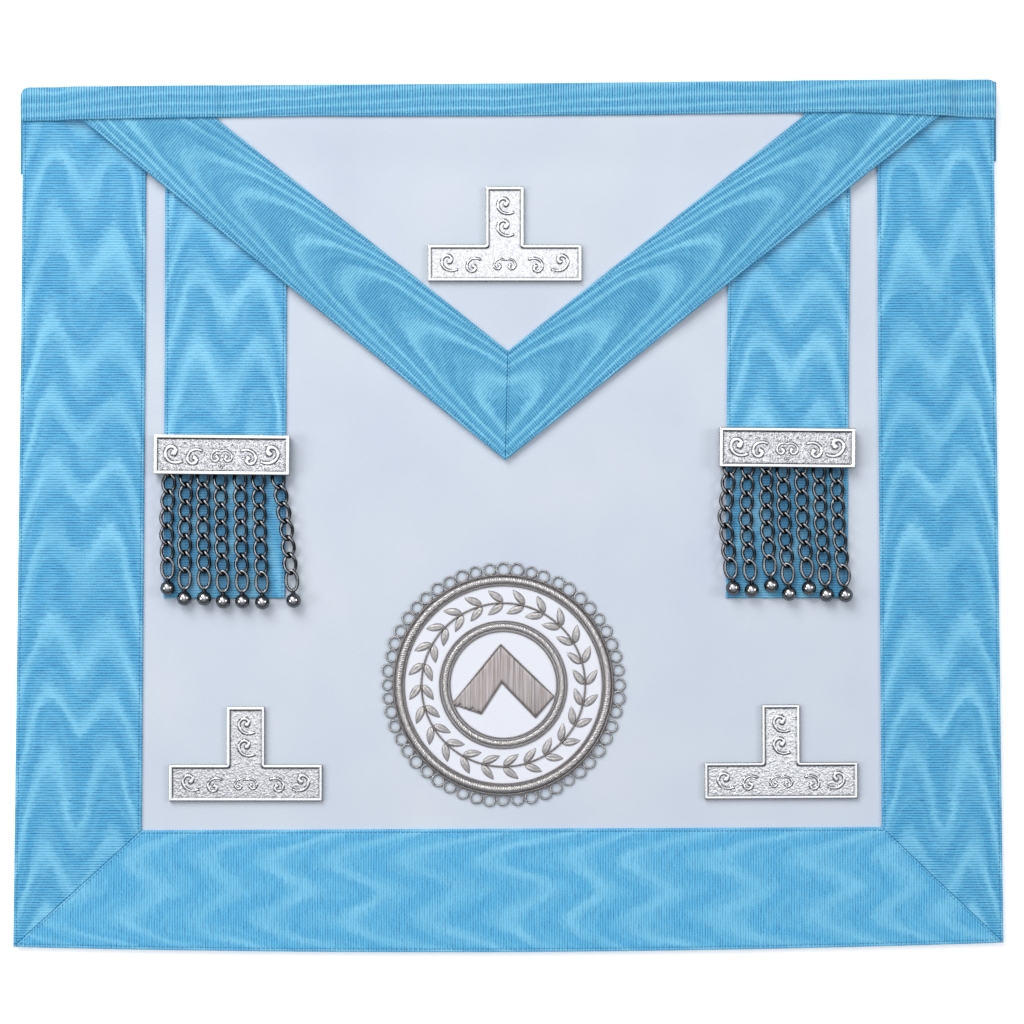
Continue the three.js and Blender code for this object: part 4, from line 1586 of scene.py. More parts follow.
@dataclass(frozen=True)
class Rim:
    """The rim of a cast plate: rounded at its outer edge, flat, and sloping to the ground inside. The
    dark line along its foot is painted shade, deepest on the upper and left sides, where it is a painted
    shadow of the rim from a light at the upper left."""

    width: float
    drop: float
    round_off: float = 0.25 * MM
    wall: float = 0.25 * MM
    line_width: float = 0.38 * MM
    line_shade: float = 0.5
    cast_shadow_shade: float = 0.5
    edge_width: float = 0.17 * MM
    edge_shade: float = 0.92

    def profile(self, x: Array, y: Array, inside: Array) -> tuple[Array, Array, Array]:
        """Works out the rim on a grid.

        Args:
            x: places across.
            y: places up.
            inside: distance in from the outline.

        Returns:
            Heights below the rim's top, tones, and the share of the ground.
        """
        edge = np.clip(1 - inside / self.round_off, 0, 1)
        ground = np.clip((inside - self.width) / self.wall, 0, 1)
        below = -self.round_off * 0.6 * (1 - np.sqrt(1 - edge**2)) - self.drop * ground
        line = np.exp(-(((inside - self.width - self.wall) / self.line_width) ** 2))
        up, across = np.gradient(inside, y[:, 0], x[0])
        # Painted shadow: the line darkens most beside the upper and left walls, which shade the ground from
        # the light at the upper left
        in_rim_shadow = np.clip(across * 0.6 - up, 0, 1)
        outer = np.exp(-((inside / self.edge_width) ** 2))
        shade = (self.line_shade + self.cast_shadow_shade * in_rim_shadow) * line
        return below, (1 - shade) * (1 - self.edge_shade * outer), ground


@dataclass
class ScrollWork:
    """Raised scrolls on a stippled ground. A scroll's line is a spiral whose distance from its eye grows
    evenly in proportion as it turns, and its ridge is round in section."""

    share: float = 0.41
    stroke: float = 0.33
    taper: float = 0.3
    eye: float = 0.16
    start_turn: float = -60.0
    end_turn: float = 310.0
    relief: float = 0.45 * MM
    stipple: float = 0.034 * MM
    ground: float = 0.62
    speckle: float = 0.22
    crest: float = 0.88
    crest_share: float = 0.9
    outline: float = 0.68
    outline_at: float = 1.15
    outline_width: float = 0.3

    def line(self, scroll: Scroll, length: float, width: float, middle: Sequence[float]) -> Array:
        """Points of one scroll's line.

        Args:
            scroll: the scroll.
            length: the field's length.
            width: the field's width.
            middle: the place that the scroll's shares are counted from.

        Returns:
            n by 3 values: x, y and half the stroke's width, which is a little more at the eye.
        """
        size = self.share * scroll.size * width
        share = np.linspace(0, 1, 60)
        angle = np.radians(scroll.turn + self.start_turn + (self.end_turn - self.start_turn) * share)
        radius = size * self.eye ** (1 - share)
        half = size * self.stroke / 2 * (1 - self.taper * share) * (1 + 0.3 * (share < 0.05))
        x = middle[0] + scroll.x * length + scroll.hand * radius * np.cos(angle)
        y = middle[1] + scroll.y * width + scroll.flip * radius * np.sin(angle)
        return np.stack([x, y, half], 1)

    def raise_on(self, x: Array, y: Array, lines: Sequence[Array], seed: int) -> tuple[Array, Array]:
        """The relief over the ground and its tone: a round ridge along each line, a dark line beside it,
        and a stipple of smoothed noise on the rest.

        Args:
            x: places across.
            y: places up.
            lines: the scrolls' lines.
            seed: seed of the stipple.

        Returns:
            Heights over the ground, and tones.
        """
        noise = np.random.default_rng(seed).normal(0, 1, x.shape)
        soft = (noise + np.roll(noise, 1, 0) + np.roll(noise, 1, 1) + np.roll(noise, (1, 1), (0, 1))) / 2
        away = [np.hypot(x[..., None] - a[:, 0], y[..., None] - a[:, 1]) / a[:, 2] for a in lines]
        nearest = np.min([part.min(-1) for part in away], 0)
        outline = np.exp(-(((nearest - self.outline_at) / self.outline_width) ** 2))
        ridge = np.sqrt(np.clip(1 - nearest**6, 0, 1)) * self.relief
        ground = self.stipple * (soft * (1 - outline) - outline)
        tone = np.clip(self.ground + self.speckle * soft, 0.1, 1) * (1 - self.outline * outline)
        crest = nearest < self.crest_share
        return np.where(nearest < 1, ridge, ground), np.where(crest, self.crest, tone)

    def cast(
        self, grid: tuple[Array, Array, Array], rim: Rim, top: float, lines: Sequence[Array], seed: int,
    ) -> tuple[Array, Array]:
        """The upper face of a cast plate: its rim, and scrolls and stipple on its sunk ground.

        Args:
            grid: places across, places up, and the distance in from the outline.
            rim: the plate's rim.
            top: the height of the rim's top.
            lines: the scrolls' lines.
            seed: seed of the stipple.

        Returns:
            Heights and tones.
        """
        below, rim_tone, ground = rim.profile(*grid)
        relief, tone = self.raise_on(grid[0], grid[1], lines, seed)
        return top + below + relief * ground, np.where(ground > 0.5, tone * rim_tone, rim_tone)


@dataclass
class Level:
    """A cast level: a plate in the shape of an upside-down T with a sunk, stippled and scrolled field."""

    lay: Lay
    wardrobe: Wardrobe
    name: str
    turn: float
    width: float = 63.0 * MM
    height: float = 38.7 * MM
    limb: float = 14.9 * MM
    upright: float = 15.5 * MM
    thickness: float = 2.0 * MM
    rim: Rim = Rim(1.15 * MM, 0.7 * MM)
    ground: float = 0.72
    cell: float = 0.23 * MM
    clearance: float = 0.12 * MM

    def build(self) -> None:
        """Builds the plate where its solid lies."""
        node = f"level_{self.name}"
        low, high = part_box(node)
        a, post = self.width / 2, self.upright / 2
        xs = cells_between((-a, -post, post, a), self.cell)
        ys = cells_between((0.0, self.limb, self.height), self.cell)
        x, y = np.meshgrid(xs, ys)
        in_foot = np.minimum(np.minimum(a - np.abs(x), y), self.limb - y)
        in_post = np.minimum(np.minimum(post - np.abs(x), y), self.height - y)
        inside = np.maximum(in_foot, in_post)
        corner = np.hypot(np.abs(x) - post, y - self.limb)
        joint = (np.abs(x) < post) & (y < self.limb)
        inside = np.where(joint, np.minimum(np.minimum(y, a), corner), inside)
        work = ScrollWork(stroke=0.28, stipple=0.017 * MM, ground=self.ground, speckle=0.12)
        length, width = self.width - 2 * self.rim.width, self.limb - 2 * self.rim.width
        run = self.height - self.limb - self.rim.width
        lines = [work.line(scroll, length, width, (0.0, self.limb / 2)) for scroll in FIELD_SCROLLS]
        for scroll in UPRIGHT_SCROLLS:
            lines.append(work.line(replace(scroll, y=0.0), length, width, (0.0, self.limb + scroll.y * run)))
        height, tones = work.cast((x, y, inside), self.rim, self.thickness, lines, seed=3)
        middle = (xs[1:] + xs[:-1]) / 2
        rows = (ys[1:] + ys[:-1]) / 2
        cells = (rows[:, None] < self.limb) | (np.abs(middle)[None, :] < post)
        plate = relief_plate(xs, ys, cells, height, tones, 0.0)
        foot = low[1] + abs(a * math.sin(math.radians(self.turn)))
        plate = plate.moved([(low[0] + high[0]) / 2, foot, low[2]], self.turn)
        rise = self.lay.lift(np.array([foot, foot + self.height]))
        share = (plate.points[:, 1] - foot) / self.height
        plate.points[:, 2] += rise[0] + (rise[1] - rise[0]) * share + self.clearance * np.sign(rise[1])
        self.wardrobe.add(f"silver_level_{self.name}", plate, SILVER, [node], sharp=50)


@dataclass
class Tassel:
    """One tassel: its ribbon, its bar, and the chains with their balls. bar_dots are places and sizes as
    shares of the bar's field, and collar is the ball's neck as radii and heights in millimetres."""

    lay: Lay
    wardrobe: Wardrobe
    side: str
    hand: float
    routes: tuple
    turn: float = -0.5
    ribbon_width: float = 50.2 * MM
    splay: float = 1.2 * MM
    ribbon_length: float = 198.0 * MM
    bar_length: float = 55.6 * MM
    bar_width: float = 16.2 * MM
    bar_height: float = 4.9 * MM
    bar_wall: float = 1.1 * MM
    bar_face: float = 1.2 * MM
    bar_rim: Rim = Rim(1.35 * MM, 0.6 * MM)
    bar_dots: tuple = ((-0.055, -0.33, 0.03), (0.055, -0.33, 0.03), (0.0, -0.39, 0.03))
    # The walls' tone is painted shade: they face sideways, away from the light
    wall_painted_shade: float = 0.35
    cell: float = 0.2 * MM
    pitch: float = 7.0 * MM
    link_width: float = 6.3 * MM
    wire: float = 1.45 * MM
    bite: float = 0.02 * MM
    link_steps: int = 32
    link_sides: int = 9
    links: int = 7
    chain_thickness: float = 3.3 * MM
    ball: float = 6.0 * MM
    neck: float = 66.0
    collar: tuple = ((0.95, 2.95), (0.95, 3.3), (0.6, 3.5), (0.0, 3.5))
    eye_radius: float = 0.95 * MM
    eye_wire: float = 0.28 * MM
    eye_above: float = 1.25 * MM
    eye_bend: float = 0.04 * MM
    # The chains' painted shadow on the ribbon: its width, its shift to the right, away from the light, and
    # its depth
    streak: float = 3.2 * MM
    streak_shift: float = 1.0 * MM
    chain_shadow_depth: float = 0.54
    # Painted shade on the long sides of each link, which leaves its ends bright as painted highlights
    link_side_shade: float = 0.45
    stitch_inset: float = 1.3 * MM

    def build(self) -> None:
        """Builds the tassel."""
        low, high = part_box(f"tassel_bar_{self.side}")
        self.middle = np.array([(low[0] + high[0]) / 2, (low[1] + high[1]) / 2])
        self.floor = float(low[2])
        self.ribbon()
        self.bar()
        for number, route in enumerate(self.routes, 1):
            self.chain(number, route)
            self.drop(number, route)

    def ribbon(self) -> None:
        """Builds the upright ribbon, whose ribs run across."""
        lay = self.lay
        low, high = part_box(f"tassel_ribbon_{self.side}")
        half = self.ribbon_width / 2
        middle = (low[0] + high[0] + self.splay) / 2
        head = float(lay.under_band_y(middle))

        def edge(side: float) -> Edge:
            """One edge, from under the bar to inside the band."""
            return straight((middle + side * half - self.splay, low[1]), (middle + side * half, head))

        def weave(x: Array, y: Array, share: Array) -> Array:
            """The ribbon runs up the apron, and the two start at unlike places of its length."""
            return np.stack([2 * share - 1, y + 0.4 + 0.013 * self.hand], -1)

        sheet = SheetMaker(lay).make(edge(-1), edge(1), lay.border_floor, lay.ribbon, weave)
        # Painted shadow of the chains on the silk
        sheet.tone = self.painted_chain_shadow(sheet.points)
        node = f"tassel_ribbon_{self.side}"
        obj = self.wardrobe.add(f"tassel_band_{self.side}", sheet, TASSEL_RIBBON, [node])
        ends = [edge(side)(np.array([0.0, 1.0])) - [side * self.stitch_inset, 0.0] for side in (-1, 1)]
        sewn = Stitcher().lines(ends, lay.ribbon_top(lay.border_floor))
        self.wardrobe.add(f"tassel_stitches_{self.side}", sewn, THREAD)

    def painted_chain_shadow(self, points: Array) -> Array:
        """Painted shadow of the chains on the silk: darker in a soft streak under each chain, shifted a
        little to the right, away from the light at the upper left, whose depth falls off as the bell curve of
        the distance from it, and none above the bar and below the balls.

        Args:
            points: places on the ribbon.

        Returns:
            Tones, 1 where no shadow is painted.
        """
        y = points[:, 1] - self.middle[1]
        dark = np.zeros(len(points))
        for route in self.routes:
            away = points[:, 0] - self.middle[0] - self.route_x(route, y) - self.streak_shift
            ends = np.clip((y + route[3] * MM) / self.pitch + 0.5, 0, 1)
            dark = np.maximum(dark, np.exp(-((away / self.streak) ** 2)) * ends)
        return 1 - self.chain_shadow_depth * dark * (y < 0)

    def bar(self) -> None:
        """Builds the bar: a relief face on three low walls, open along its lower edge."""
        a, b = self.bar_length / 2, self.bar_width / 2
        wall_top = self.bar_height - self.bar_face
        xs, ys = cells_between((-a, a), self.cell), cells_between((-b, b), self.cell)
        x, y = np.meshgrid(xs, ys)
        inside = np.minimum(a - np.abs(x), b - np.abs(y))
        work = ScrollWork()
        length, width = 2 * (a - self.bar_rim.width), 2 * (b - self.bar_rim.width)
        lines = [work.line(scroll, length, width, (0.0, 0.0)) for scroll in FIELD_SCROLLS]
        lines.append(np.array(self.bar_dots) * width)
        height, tones = work.cast((x, y, inside), self.bar_rim, self.bar_height, lines, seed=5)
        cells = np.ones((len(ys) - 1, len(xs) - 1), bool)
        face = relief_plate(xs, ys, cells, height, tones, wall_top)
        c, d = a - self.bar_wall, b - self.bar_wall
        plan = np.array([[-a, -b], [-c, -b], [-c, d], [c, d], [c, -b], [a, -b], [a, b], [-a, b]])
        ring = np.concatenate([np.column_stack([plan, np.full(8, z)]) for z in (0.0, wall_top)])
        k = np.arange(8)
        sides = np.stack([k, (k + 1) % 8, (k + 1) % 8 + 8, k + 8], 1)
        corners = np.concatenate([sides.ravel(), k[::-1], k + 8])
        sizes = np.array([4] * 8 + [8, 8])
        walls = Surface(ring, corners, sizes, ring[:, :2].copy(), np.full(16, self.wall_painted_shade))
        whole = Surface.joined([face, walls]).moved([*self.middle, self.floor], self.turn)
        self.wardrobe.add(f"silver_bar_{self.side}", whole, SILVER, [f"tassel_bar_{self.side}"], sharp=50)

    def link(self, twist: float = 45.0) -> Surface:
        """One curb link: an oval whose points turn about its long axis by an angle that grows along it.

        Args:
            twist: the turn at each end, in degrees.

        Returns:
            The link about its own middle, lying along Y.
        """
        half_length = (self.pitch + self.wire - self.bite) / 2
        half_width = (self.link_width - self.wire) / 2
        angle = circle(self.link_steps)
        along = np.cos(angle) * half_length
        across = np.sin(angle) * half_width
        turn = np.radians(twist) * np.cos(angle)
        path = np.stack([across * np.cos(turn), along, across * np.sin(turn)], 1)
        link = tube(path, self.wire / 2, self.link_sides)
        # Painted light: the wire's tone is bright where it faces up and dark at its sides, and darker still
        # along the link's long sides
        upward = (link.points - np.repeat(path, self.link_sides, 0))[:, 2] / (self.wire / 2)
        ends = np.repeat(np.cos(angle) ** 2, self.link_sides)
        link.tone = self.painted_top_light(upward) * (1 - self.link_side_shade + self.link_side_shade * ends)
        return link

    @staticmethod
    def painted_top_light(upward: Array, power: float = 8.0) -> Array:
        """Painted light on steel: a tone bright where it faces up, from 1, as a painted highlight, and dark
        at its sides, to 0, as painted shade.
        """
        return 0.04 + 0.96 * np.clip(upward, 0, 1) ** power

    def route_x(self, route: tuple, y: Array) -> Array:
        """Where a chain runs beside the bar's middle, at a height below the bar."""
        start, halfway, end, drop = (value * MM for value in route)
        return np.interp(y, [-drop, -drop / 2, 0.0], [end, halfway, start])

    def chain(self, number: int, route: tuple) -> None:
        """Builds one chain from its ball up. The last link lies open and flat.

        Args:
            number: the chain's number, from the left.
            route: its row of CHAIN_ROUTES.
        """
        reach = self.ball / 2 + (self.pitch + self.wire - self.bite) / 2 + self.wire / 2 + self.lay.gap
        y = reach - route[3] * MM + np.arange(self.links) * self.pitch
        x = self.route_x(route, y)
        above, below = (self.route_x(route, y + step) for step in (self.pitch / 2, -self.pitch / 2))
        slope = (above - below) / self.pitch
        lift = np.full(self.links, self.floor + self.chain_thickness / 2)
        places = np.stack([x + self.middle[0], y + self.middle[1], lift], 1)
        turns = upright_turns(-np.arctan(slope))
        curbs = self.link().copies(turns[1:], places[1:])
        open_link = self.link(8.0).copies(turns[:1], places[:1])
        chain = Surface.joined([open_link, curbs])
        self.wardrobe.add(f"curb_chain_{self.side}_{number}", chain, STEEL, [f"chain_{self.side}_{number}"])

    def drop(self, number: int, route: tuple) -> None:
        """Builds one ball with its collar and its eye, a wire ring that stands on edge along Y.

        Args:
            number: the chain's number, from the left.
            route: its row of CHAIN_ROUTES.
        """
        radius = self.ball / 2
        angle = np.linspace(-90, self.neck, 22) * math.pi / 180
        globe = np.stack([radius * np.cos(angle), radius * np.sin(angle)], 1)
        profile = np.concatenate([globe, np.array(self.collar) * MM])
        profile[0, 0] = 0.0
        up_along_y = np.array([[[1.0, 0, 0], [0, 0, 1.0], [0, -1.0, 0]]])
        body = turned(profile, 28).copies(up_along_y, np.zeros((1, 3)))
        # Painted light: bright on the ball's top, dark on its sides and underside
        body.tone = self.painted_top_light(body.points[:, 2] / radius, 2.5)
        angle = circle(20)
        path = np.stack([np.sin(angle), np.cos(angle), 0 * angle], 1) * self.eye_radius
        path[:, 2] -= self.eye_bend * np.sin(angle)
        ring = tube(path, self.eye_wire, 7)
        ring.tone[:] = 0.4
        on_edge = np.array([[[0, 0, 1.0], [0, 1.0, 0], [-1.0, 0, 0]]])
        loop = ring.copies(on_edge, np.zeros((1, 3))).moved([0, radius + self.eye_above, 0])
        middle = [self.middle[0] + route[2] * MM, self.middle[1] - route[3] * MM, self.floor + radius]
        whole = Surface.joined([body, loop]).moved(middle)
        self.wardrobe.add(f"ball_drop_{self.side}_{number}", whole, STEEL, [f"ball_{self.side}_{number}"])


@dataclass
class Badge:
    """The embroidered badge: felt ground, padded rings, gimp lines, loops, a wreath and a plain square.
    gimp_rings are the radii of each gimp line's ring and of its cord in millimetres, and the square's
    upper and lower edges run from left to right as shares of its reach."""

    wardrobe: Wardrobe
    radius: float = 50.3 * MM
    ground_radius: float = 44.7 * MM
    ground: float = 1.2 * MM
    outer_ring: float = 43.05 * MM
    outer_width: float = 3.1 * MM
    inner_ring: float = 24.15 * MM
    inner_width: float = 2.7 * MM
    loops: int = 52
    loop_outer: float = 5.2 * MM
    loop_wire: float = 0.8 * MM
    square_reach: float = 20.9 * MM
    square_upper: tuple = ((-1.0, -0.373), (-0.053, 0.794), (0.995, -0.225))
    square_lower: tuple = (
        (-1.0, -0.373), (-0.435, -0.574), (-0.033, 0.048), (0.636, -0.646), (0.995, -0.225),
    )
    leaf_pairs: int = 24
    leaf_length: float = 7.8 * MM
    leaf_width: float = 3.3 * MM
    leaf_height: float = 0.75 * MM
    leaf_spread: float = 36.0
    wind_pitch: float = 0.95 * MM
    gimp_rings: tuple = ((40.9, 0.36), (45.15, 0.42), (26.15, 0.34), (22.1, 0.36))

    def build(self) -> None:
        """Builds the badge where its solids lie."""
        low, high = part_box("badge_disc")
        self.place = [(low[0] + high[0]) / 2, (low[1] + high[1]) / 2, low[2]]
        self.felt()
        self.padded_ring("badge_cord_outer", self.outer_ring, self.outer_width, "badge_outer_ring")
        self.padded_ring("badge_cord_inner", self.inner_ring, self.inner_width, "badge_inner_ring")
        self.gimp_lines()
        self.loop_edge()
        self.wreath()
        self.square()

    def on_felt(self, clearance: float = 0.0) -> list[float]:
        """The middle of the felt's upper face, or a place a little above it."""
        return [self.place[0], self.place[1], self.place[2] + self.ground + clearance]

    def felt(self) -> None:
        """The ground: a flat disc with a rolled edge."""
        r, t = self.ground_radius, self.ground
        angle = np.linspace(-90, 90, 9) * math.pi / 180
        edge = np.stack([r - t / 2 + t / 2 * np.cos(angle), t / 2 + t / 2 * np.sin(angle)], 1)
        inner = np.linspace(0, r - t, 18)
        under = np.stack([inner, np.zeros(18)], 1)
        over = np.stack([inner[::-1], np.full(18, t)], 1)
        disc = turned(np.concatenate([under, edge, over]), 160).moved(self.place)
        obj = self.wardrobe.add("badge_felt", disc, FELT, ["badge_disc"])

    def padded_ring(self, name: str, radius: float, width: float, node: str) -> None:
        """A ring of half round section wound with bullion: its section's radius carries small ridges that
        run round it on a slant.

        Args:
            name: the piece's name.
            radius: the ring's.
            width: the padding's.
            node: the solid that it stands for.
        """
        turns = round(math.tau * radius / self.wind_pitch)
        steps = turns * 5
        angle = circle(steps)
        section = np.concatenate([np.linspace(0, math.pi, 11), [math.pi * 1.5]])
        ridge = 1 + 0.07 * np.cos(turns * angle[:, None] + 3.0 * section[None, :])
        half = width / 2
        reach = radius + np.cos(section)[None, :] * half * ridge
        height = np.clip(np.sin(section), -0.02, 1)[None, :] * half * ridge
        reach = np.where(section[None, :] > math.pi, radius, reach)
        height = np.where(section[None, :] > math.pi, 0.0, height)
        points = np.stack([reach * np.cos(angle)[:, None], reach * np.sin(angle)[:, None], height], -1)
        weave = np.stack(np.broadcast_arrays(section[None, :] / math.pi, angle[:, None] * radius), -1)
        faces = grid_faces(steps, len(section), wrap_rows=True, wrap_columns=True)[:, ::-1]
        # Painted shade: the ring is lighter on its crown and darker towards its sides
        tone = np.broadcast_to(0.4 + 0.6 * np.clip(np.sin(section), 0, 1)[None, :], points.shape[:2]).ravel()
        ring = Surface.quads(points.reshape(-1, 3), faces, weave.reshape(-1, 2), tone)
        self.wardrobe.add(name, ring.moved(self.on_felt(0.02 * MM)), BULLION, [node])

    def gimp_lines(self) -> None:
        """Fine twisted cords beside the padded rings."""
        rings = []
        for radius, wire in self.gimp_rings:
            steps = round(math.tau * radius / 0.3)
            angle = circle(steps)
            wave = 1 + 0.18 * np.cos(angle * steps / 3)
            path = np.stack([radius * np.cos(angle), radius * np.sin(angle), 0 * angle + wire], 1) * MM
            rings.append(tube(path, wire * MM * wave, 6))
        self.wardrobe.add("badge_gimp", Surface.joined(rings).moved(self.on_felt()), GIMP)

    def loop_edge(self) -> None:
        """The edge of small overlapping loops of purl: rings whose thickness swells at every turn."""
        turns = 22
        angle = circle(turns * 4)
        radius = (self.loop_outer - self.loop_wire) / 2
        path = np.stack([radius * np.cos(angle), radius * np.sin(angle) * 1.05, 0 * angle], 1)
        wire = self.loop_wire / 2 * (1 + 0.16 * np.cos(turns * angle))
        ring = tube(path, wire, 7)
        # Painted shade: the wire is lighter on top and darker at its sides
        ring.tone = 0.3 + 0.7 * np.clip(ring.points[:, 2] / (self.loop_wire / 2), 0, 1) ** 1.5
        rng = np.random.default_rng(11)
        at = circle(self.loops) + rng.normal(0, 0.006, self.loops)
        reach = self.radius - self.loop_outer / 2 + rng.normal(0, 0.15 * MM, self.loops)
        height = self.loop_wire * (0.62 + 0.12 * (np.arange(self.loops) % 2))
        places = np.stack([reach * np.cos(at), reach * np.sin(at), height], 1)
        uneven = rng.normal(1.04, 0.05, (self.loops, 1, 1))
        edge = ring.copies(upright_turns(at + rng.normal(0, 0.15, self.loops)) * uneven, places)
        self.wardrobe.add("badge_purl_loops", edge.moved(self.place), PURL, ["badge_loop_edge"])

    @staticmethod
    def mound(x: Array, y: Array, top: Array, weave: Array) -> Surface:
        """Closes a raised patch on the felt: the outer ring of its grid comes down to height 0.

        Args:
            x: rows by columns places across.
            y: places up.
            top: heights.
            weave: cloth coordinates.

        Returns:
            The closed patch.
        """
        grid = np.stack([x, y, top], -1)
        grid[:, [0, -1], 2] = 0.0
        grid[[0, -1], :, 2] = 0.0
        return shell(grid, np.stack([x, y, 0 * top], -1), weave)

    def leaf(self) -> Surface:
        """Makes one satin leaf: a pointed oval, crowned across, with threads laid on the slant.

        Returns:
            The leaf, with its foot at the origin and its point along X.
        """
        t = np.linspace(0, 1, 15)
        s = np.linspace(-1, 1, 9)
        half = self.leaf_width / 2 * np.sin(math.pi * t**0.8) ** 0.75
        x = np.broadcast_to((t * self.leaf_length)[:, None], (15, 9))
        y = half[:, None] * s[None, :]
        narrowing = np.clip(half[:, None] / (self.leaf_width / 2), 0, 1)
        crown = np.clip(1 - s[None, :] ** 2, 0, 1) ** 0.6 * narrowing
        vein = np.exp(-((s[None, :] / 0.16) ** 2)) * 0.35
        top = self.leaf_height * crown * (1 - vein) + 0.04 * MM
        weave = np.stack([np.abs(y) / MM / 2, x + np.abs(y) * 0.8], -1)
        leaf = self.mound(*(part[:, ::-1] for part in (x, y, top, weave)))
        # Painted shade: the leaf is darker on its sloping edges and in its vein, and lighter on its crown
        leaf.tone[:crown.size] = (0.35 + 0.65 * crown**0.5 * (1 - vein * 1.6)).ravel()
        return leaf

    def wreath(self) -> None:
        """A generic leaf wreath in the band between the rings: pairs of leaves along a fine stem."""
        middle = (self.outer_ring + self.inner_ring) / 2 + 0.1 * MM
        at = circle(self.leaf_pairs)
        parts = []
        for side in (-1, 1):
            turns = upright_turns(at + math.pi / 2 - side * math.radians(self.leaf_spread))
            outward = np.stack([np.cos(at), np.sin(at), 0 * at], 1)
            parts.append(self.leaf().copies(turns, outward * (middle + side * 0.5 * MM)))
        self.wardrobe.add("badge_wreath_leaves", Surface.joined(parts).moved(self.on_felt()), BULLION)
        angle = circle(400)
        path = np.stack([middle * np.cos(angle), middle * np.sin(angle), 0 * angle + 0.4 * MM], 1)
        stem = tube(path, 0.38 * MM * (1 + 0.15 * np.cos(angle * 133)), 6)
        self.wardrobe.add("badge_wreath_stem", stem.moved(self.on_felt()), GIMP)

    def square(self) -> None:
        """The plain square: upright satin threads between its upper and lower edges, over a low padding."""
        upper_edge = np.array(self.square_upper) * self.square_reach
        lower_edge = np.array(self.square_lower) * self.square_reach
        x = np.linspace(upper_edge[0, 0], upper_edge[-1, 0], 420)
        upper = np.interp(x, upper_edge[:, 0], upper_edge[:, 1])
        lower = np.interp(x, lower_edge[:, 0], lower_edge[:, 1])
        ragged = np.clip((-x / self.square_reach - 0.4) * 5, 0.06, 1)
        wave = np.sin(x / (0.75 * MM)) + np.sin(x / (0.41 * MM) + 1.0)
        lower += ragged * (0.45 * MM * wave + np.random.default_rng(4).normal(0, 0.2 * MM, x.shape))
        lower = np.minimum(lower, upper - 0.05 * MM)
        s = np.linspace(0, 1, 15)
        y = lower[:, None] + (upper - lower)[:, None] * s[None, :]
        away = np.minimum(s, 1 - s)[None, :] * (upper - lower)[:, None]
        side = np.minimum(x - x[0], x[-1] - x)[:, None]
        rise = np.sqrt(1 - (1 - np.clip(np.minimum(away, side) / (1.2 * MM), 0, 1)) ** 2)
        thread = 0.08 * MM * np.sin(x / SATIN.thread * math.tau)[:, None]
        top = 1.15 * MM * rise + thread * rise
        xx = np.broadcast_to(x[:, None], y.shape)
        plate = self.mound(*(part[::-1] for part in (xx, y, top, np.stack([xx, y], -1))))
        self.wardrobe.add("badge_satin_square", plate.moved(self.on_felt()), SATIN, ["badge_square"])
        corners = np.concatenate([upper_edge, lower_edge[-2:0:-1]])
        sides = [np.linspace(a, b, 60)[:-1] for a, b in zip(corners, np.roll(corners, -1, 0))]
        outline = np.concatenate(sides)
        path = np.column_stack([outline, np.full(len(outline), 0.35 * MM)])
        wire = 0.3 * MM * (1 + 0.2 * np.cos(np.arange(len(outline)) * 2.1))
        self.wardrobe.add("badge_square_gimp", tube(path, wire, 6).moved(self.on_felt()), GIMP)


@dataclass(frozen=True)
class Lamp:
    """A square soft light: where it hangs, its side in metres, its watts and its colour."""

    name: str
    place: tuple[float, float, float]
    size: float
    power: float
    colour: Colour = (1.0, 0.99, 0.98)


LAMPS = (
    Lamp("overhead", (0.0, 0.35, 1.65), 1.4, 6.2, (0.99, 0.99, 1.0)),
    Lamp("upper", (-0.75, 1.3, 1.5), 1.2, 25.0),
    Lamp("left", (-1.5, -0.1, 1.2), 0.7, 7.0),
    Lamp("right", (1.5, 0.3, 1.3), 0.7, 7.5),
)


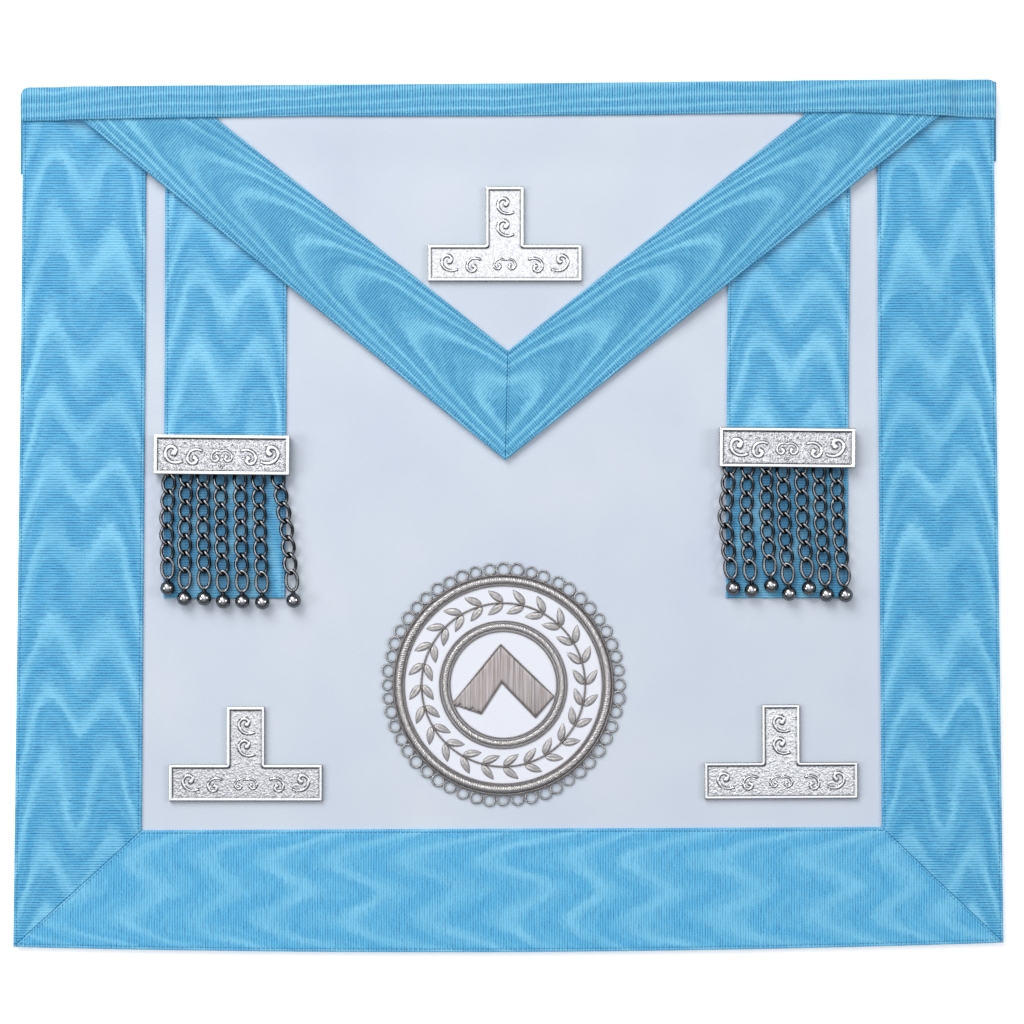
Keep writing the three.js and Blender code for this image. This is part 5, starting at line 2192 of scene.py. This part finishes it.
@dataclass
class Studio:
    """A white floor, a broad soft light overhead from the upper left, and a camera straight above."""

    pixel: float = 0.412 * MM
    pixels: int = 1024
    lens: float = 100.0
    sensor: float = 36.0
    aim: tuple = (1.5 * MM, 1.65 * MM)
    cloth_height: float = 3.2 * MM
    room_low: float = 0.07
    room_high: float = 0.38

    def build(self, wardrobe: Wardrobe) -> None:
        """Builds the camera, lights and floor.

        Args:
            wardrobe: where the floor's material is kept.
        """
        scene = bpy.context.scene
        camera = bpy.data.cameras.new("camera")
        camera.lens, camera.sensor_width = self.lens, self.sensor
        camera.clip_start, camera.clip_end = 0.05, 20.0
        eye = bpy.data.objects.new("camera", camera)
        far = self.pixel * self.pixels * self.lens / self.sensor
        eye.location = (*self.aim, far + self.cloth_height)
        scene.collection.objects.link(eye)
        scene.camera = eye
        scene.view_settings.view_transform = "Standard"
        world = bpy.data.worlds.new("studio")
        world.use_nodes = True
        self.sky(world.node_tree)
        scene.world = world
        for lamp in LAMPS:
            self.light(lamp)
        self.floor(wardrobe)

    def sky(self, tree: bpy.types.NodeTree) -> None:
        """Makes the room bright overhead and dark near the floor, so that round metal has dark sides.

        Args:
            tree: the world's node tree.
        """
        nodes, links = tree.nodes, tree.links
        coordinates = nodes.new("ShaderNodeTexCoord")
        parts = nodes.new("ShaderNodeSeparateXYZ")
        ramp = nodes.new("ShaderNodeMapRange")
        ramp.interpolation_type = "SMOOTHSTEP"
        ends = {"From Min": 0.1, "From Max": 1.0, "To Min": self.room_low, "To Max": self.room_high}
        for key, value in ends.items():
            ramp.inputs[key].default_value = value
        back = nodes["Background"]
        back.inputs["Color"].default_value = (0.92, 0.95, 1.0, 1.0)
        links.new(coordinates.outputs["Generated"], parts.inputs[0])
        links.new(parts.outputs["Z"], ramp.inputs["Value"])
        links.new(ramp.outputs["Result"], back.inputs["Strength"])

    def light(self, lamp: Lamp) -> None:
        """Hangs a lamp, turned so that it faces the apron's middle.

        Args:
            lamp: the lamp.
        """
        light = bpy.data.lights.new(lamp.name, "AREA")
        light.size, light.energy, light.color = lamp.size, lamp.power, lamp.colour
        obj = bpy.data.objects.new(lamp.name, light)
        obj.location = lamp.place
        direction = -np.array(lamp.place)
        tilt = math.atan2(math.hypot(direction[0], direction[1]), -direction[2])
        obj.rotation_euler = (tilt, 0.0, math.atan2(direction[1], direction[0]) - math.pi / 2)
        bpy.context.scene.collection.objects.link(obj)

    def floor(self, wardrobe: Wardrobe) -> None:
        """Adds the floor, just under the apron.

        Args:
            wardrobe: where its material is kept.
        """
        reach, drop = 3.0, 0.15 * MM
        points = np.array([[-1, -1, 0], [1, -1, 0], [1, 1, 0], [-1, 1, 0]], float) * reach
        points[:, 2] = -drop
        mesh = bpy.data.meshes.new("floor")
        mesh.from_pydata(points.tolist(), [], [(0, 1, 2, 3)])
        mesh.materials.append(wardrobe.material(Floor()))
        obj = bpy.data.objects.new("floor", mesh)
        bpy.context.scene.collection.objects.link(obj)


# Chains from the bar down: millimetres beside the bar's middle at the bar, half way and at the ball, and
# how far the ball's middle hangs below the bar's
CHAIN_ROUTES = {
    "left": (
        (-21.2, -22.9, -22.3, 54.7), (-14.6, -15.4, -15.5, 58.9), (-7.9, -7.9, -7.3, 58.9),
        (-1.0, -0.5, 0.5, 60.1), (7.2, 7.6, 8.4, 60.1), (14.7, 15.4, 16.6, 60.5), (21.4, 26.4, 29.4, 59.8),
    ),
    "right": (
        (-22.7, -25.4, -22.1, 57.7), (-15.7, -16.8, -14.5, 58.6), (-8.5, -8.3, -6.5, 56.6),
        (-1.9, -1.0, 0.9, 60.0), (5.7, 6.4, 9.0, 57.7), (13.0, 13.9, 16.3, 60.4), (20.2, 21.1, 24.1, 60.6),
    ),
}


def main() -> None:
    """Builds the studio and then the apron, sheet by sheet from the floor up."""
    logging.basicConfig(level=logging.INFO, format="%(name)s: %(message)s")
    wardrobe = Wardrobe()
    lay = Lay()
    Studio().build(wardrobe)
    Belt(lay, wardrobe).build()
    Panel(lay, wardrobe).build()
    Border(lay, wardrobe).build()
    Flap(lay, wardrobe).build()
    TopBand(lay, wardrobe).build()
    for side, hand in (("left", -1.0), ("right", 1.0)):
        Tassel(lay, wardrobe, side, hand, CHAIN_ROUTES[side]).build()
    for name, turn, ground in (("top", 0.0, 0.76), ("left", 0.0, 0.72), ("right", 0.3, 0.78)):
        Level(lay, wardrobe, name, turn, ground=ground).build()
    Badge(wardrobe).build()


if __name__ == "__main__":
    main()
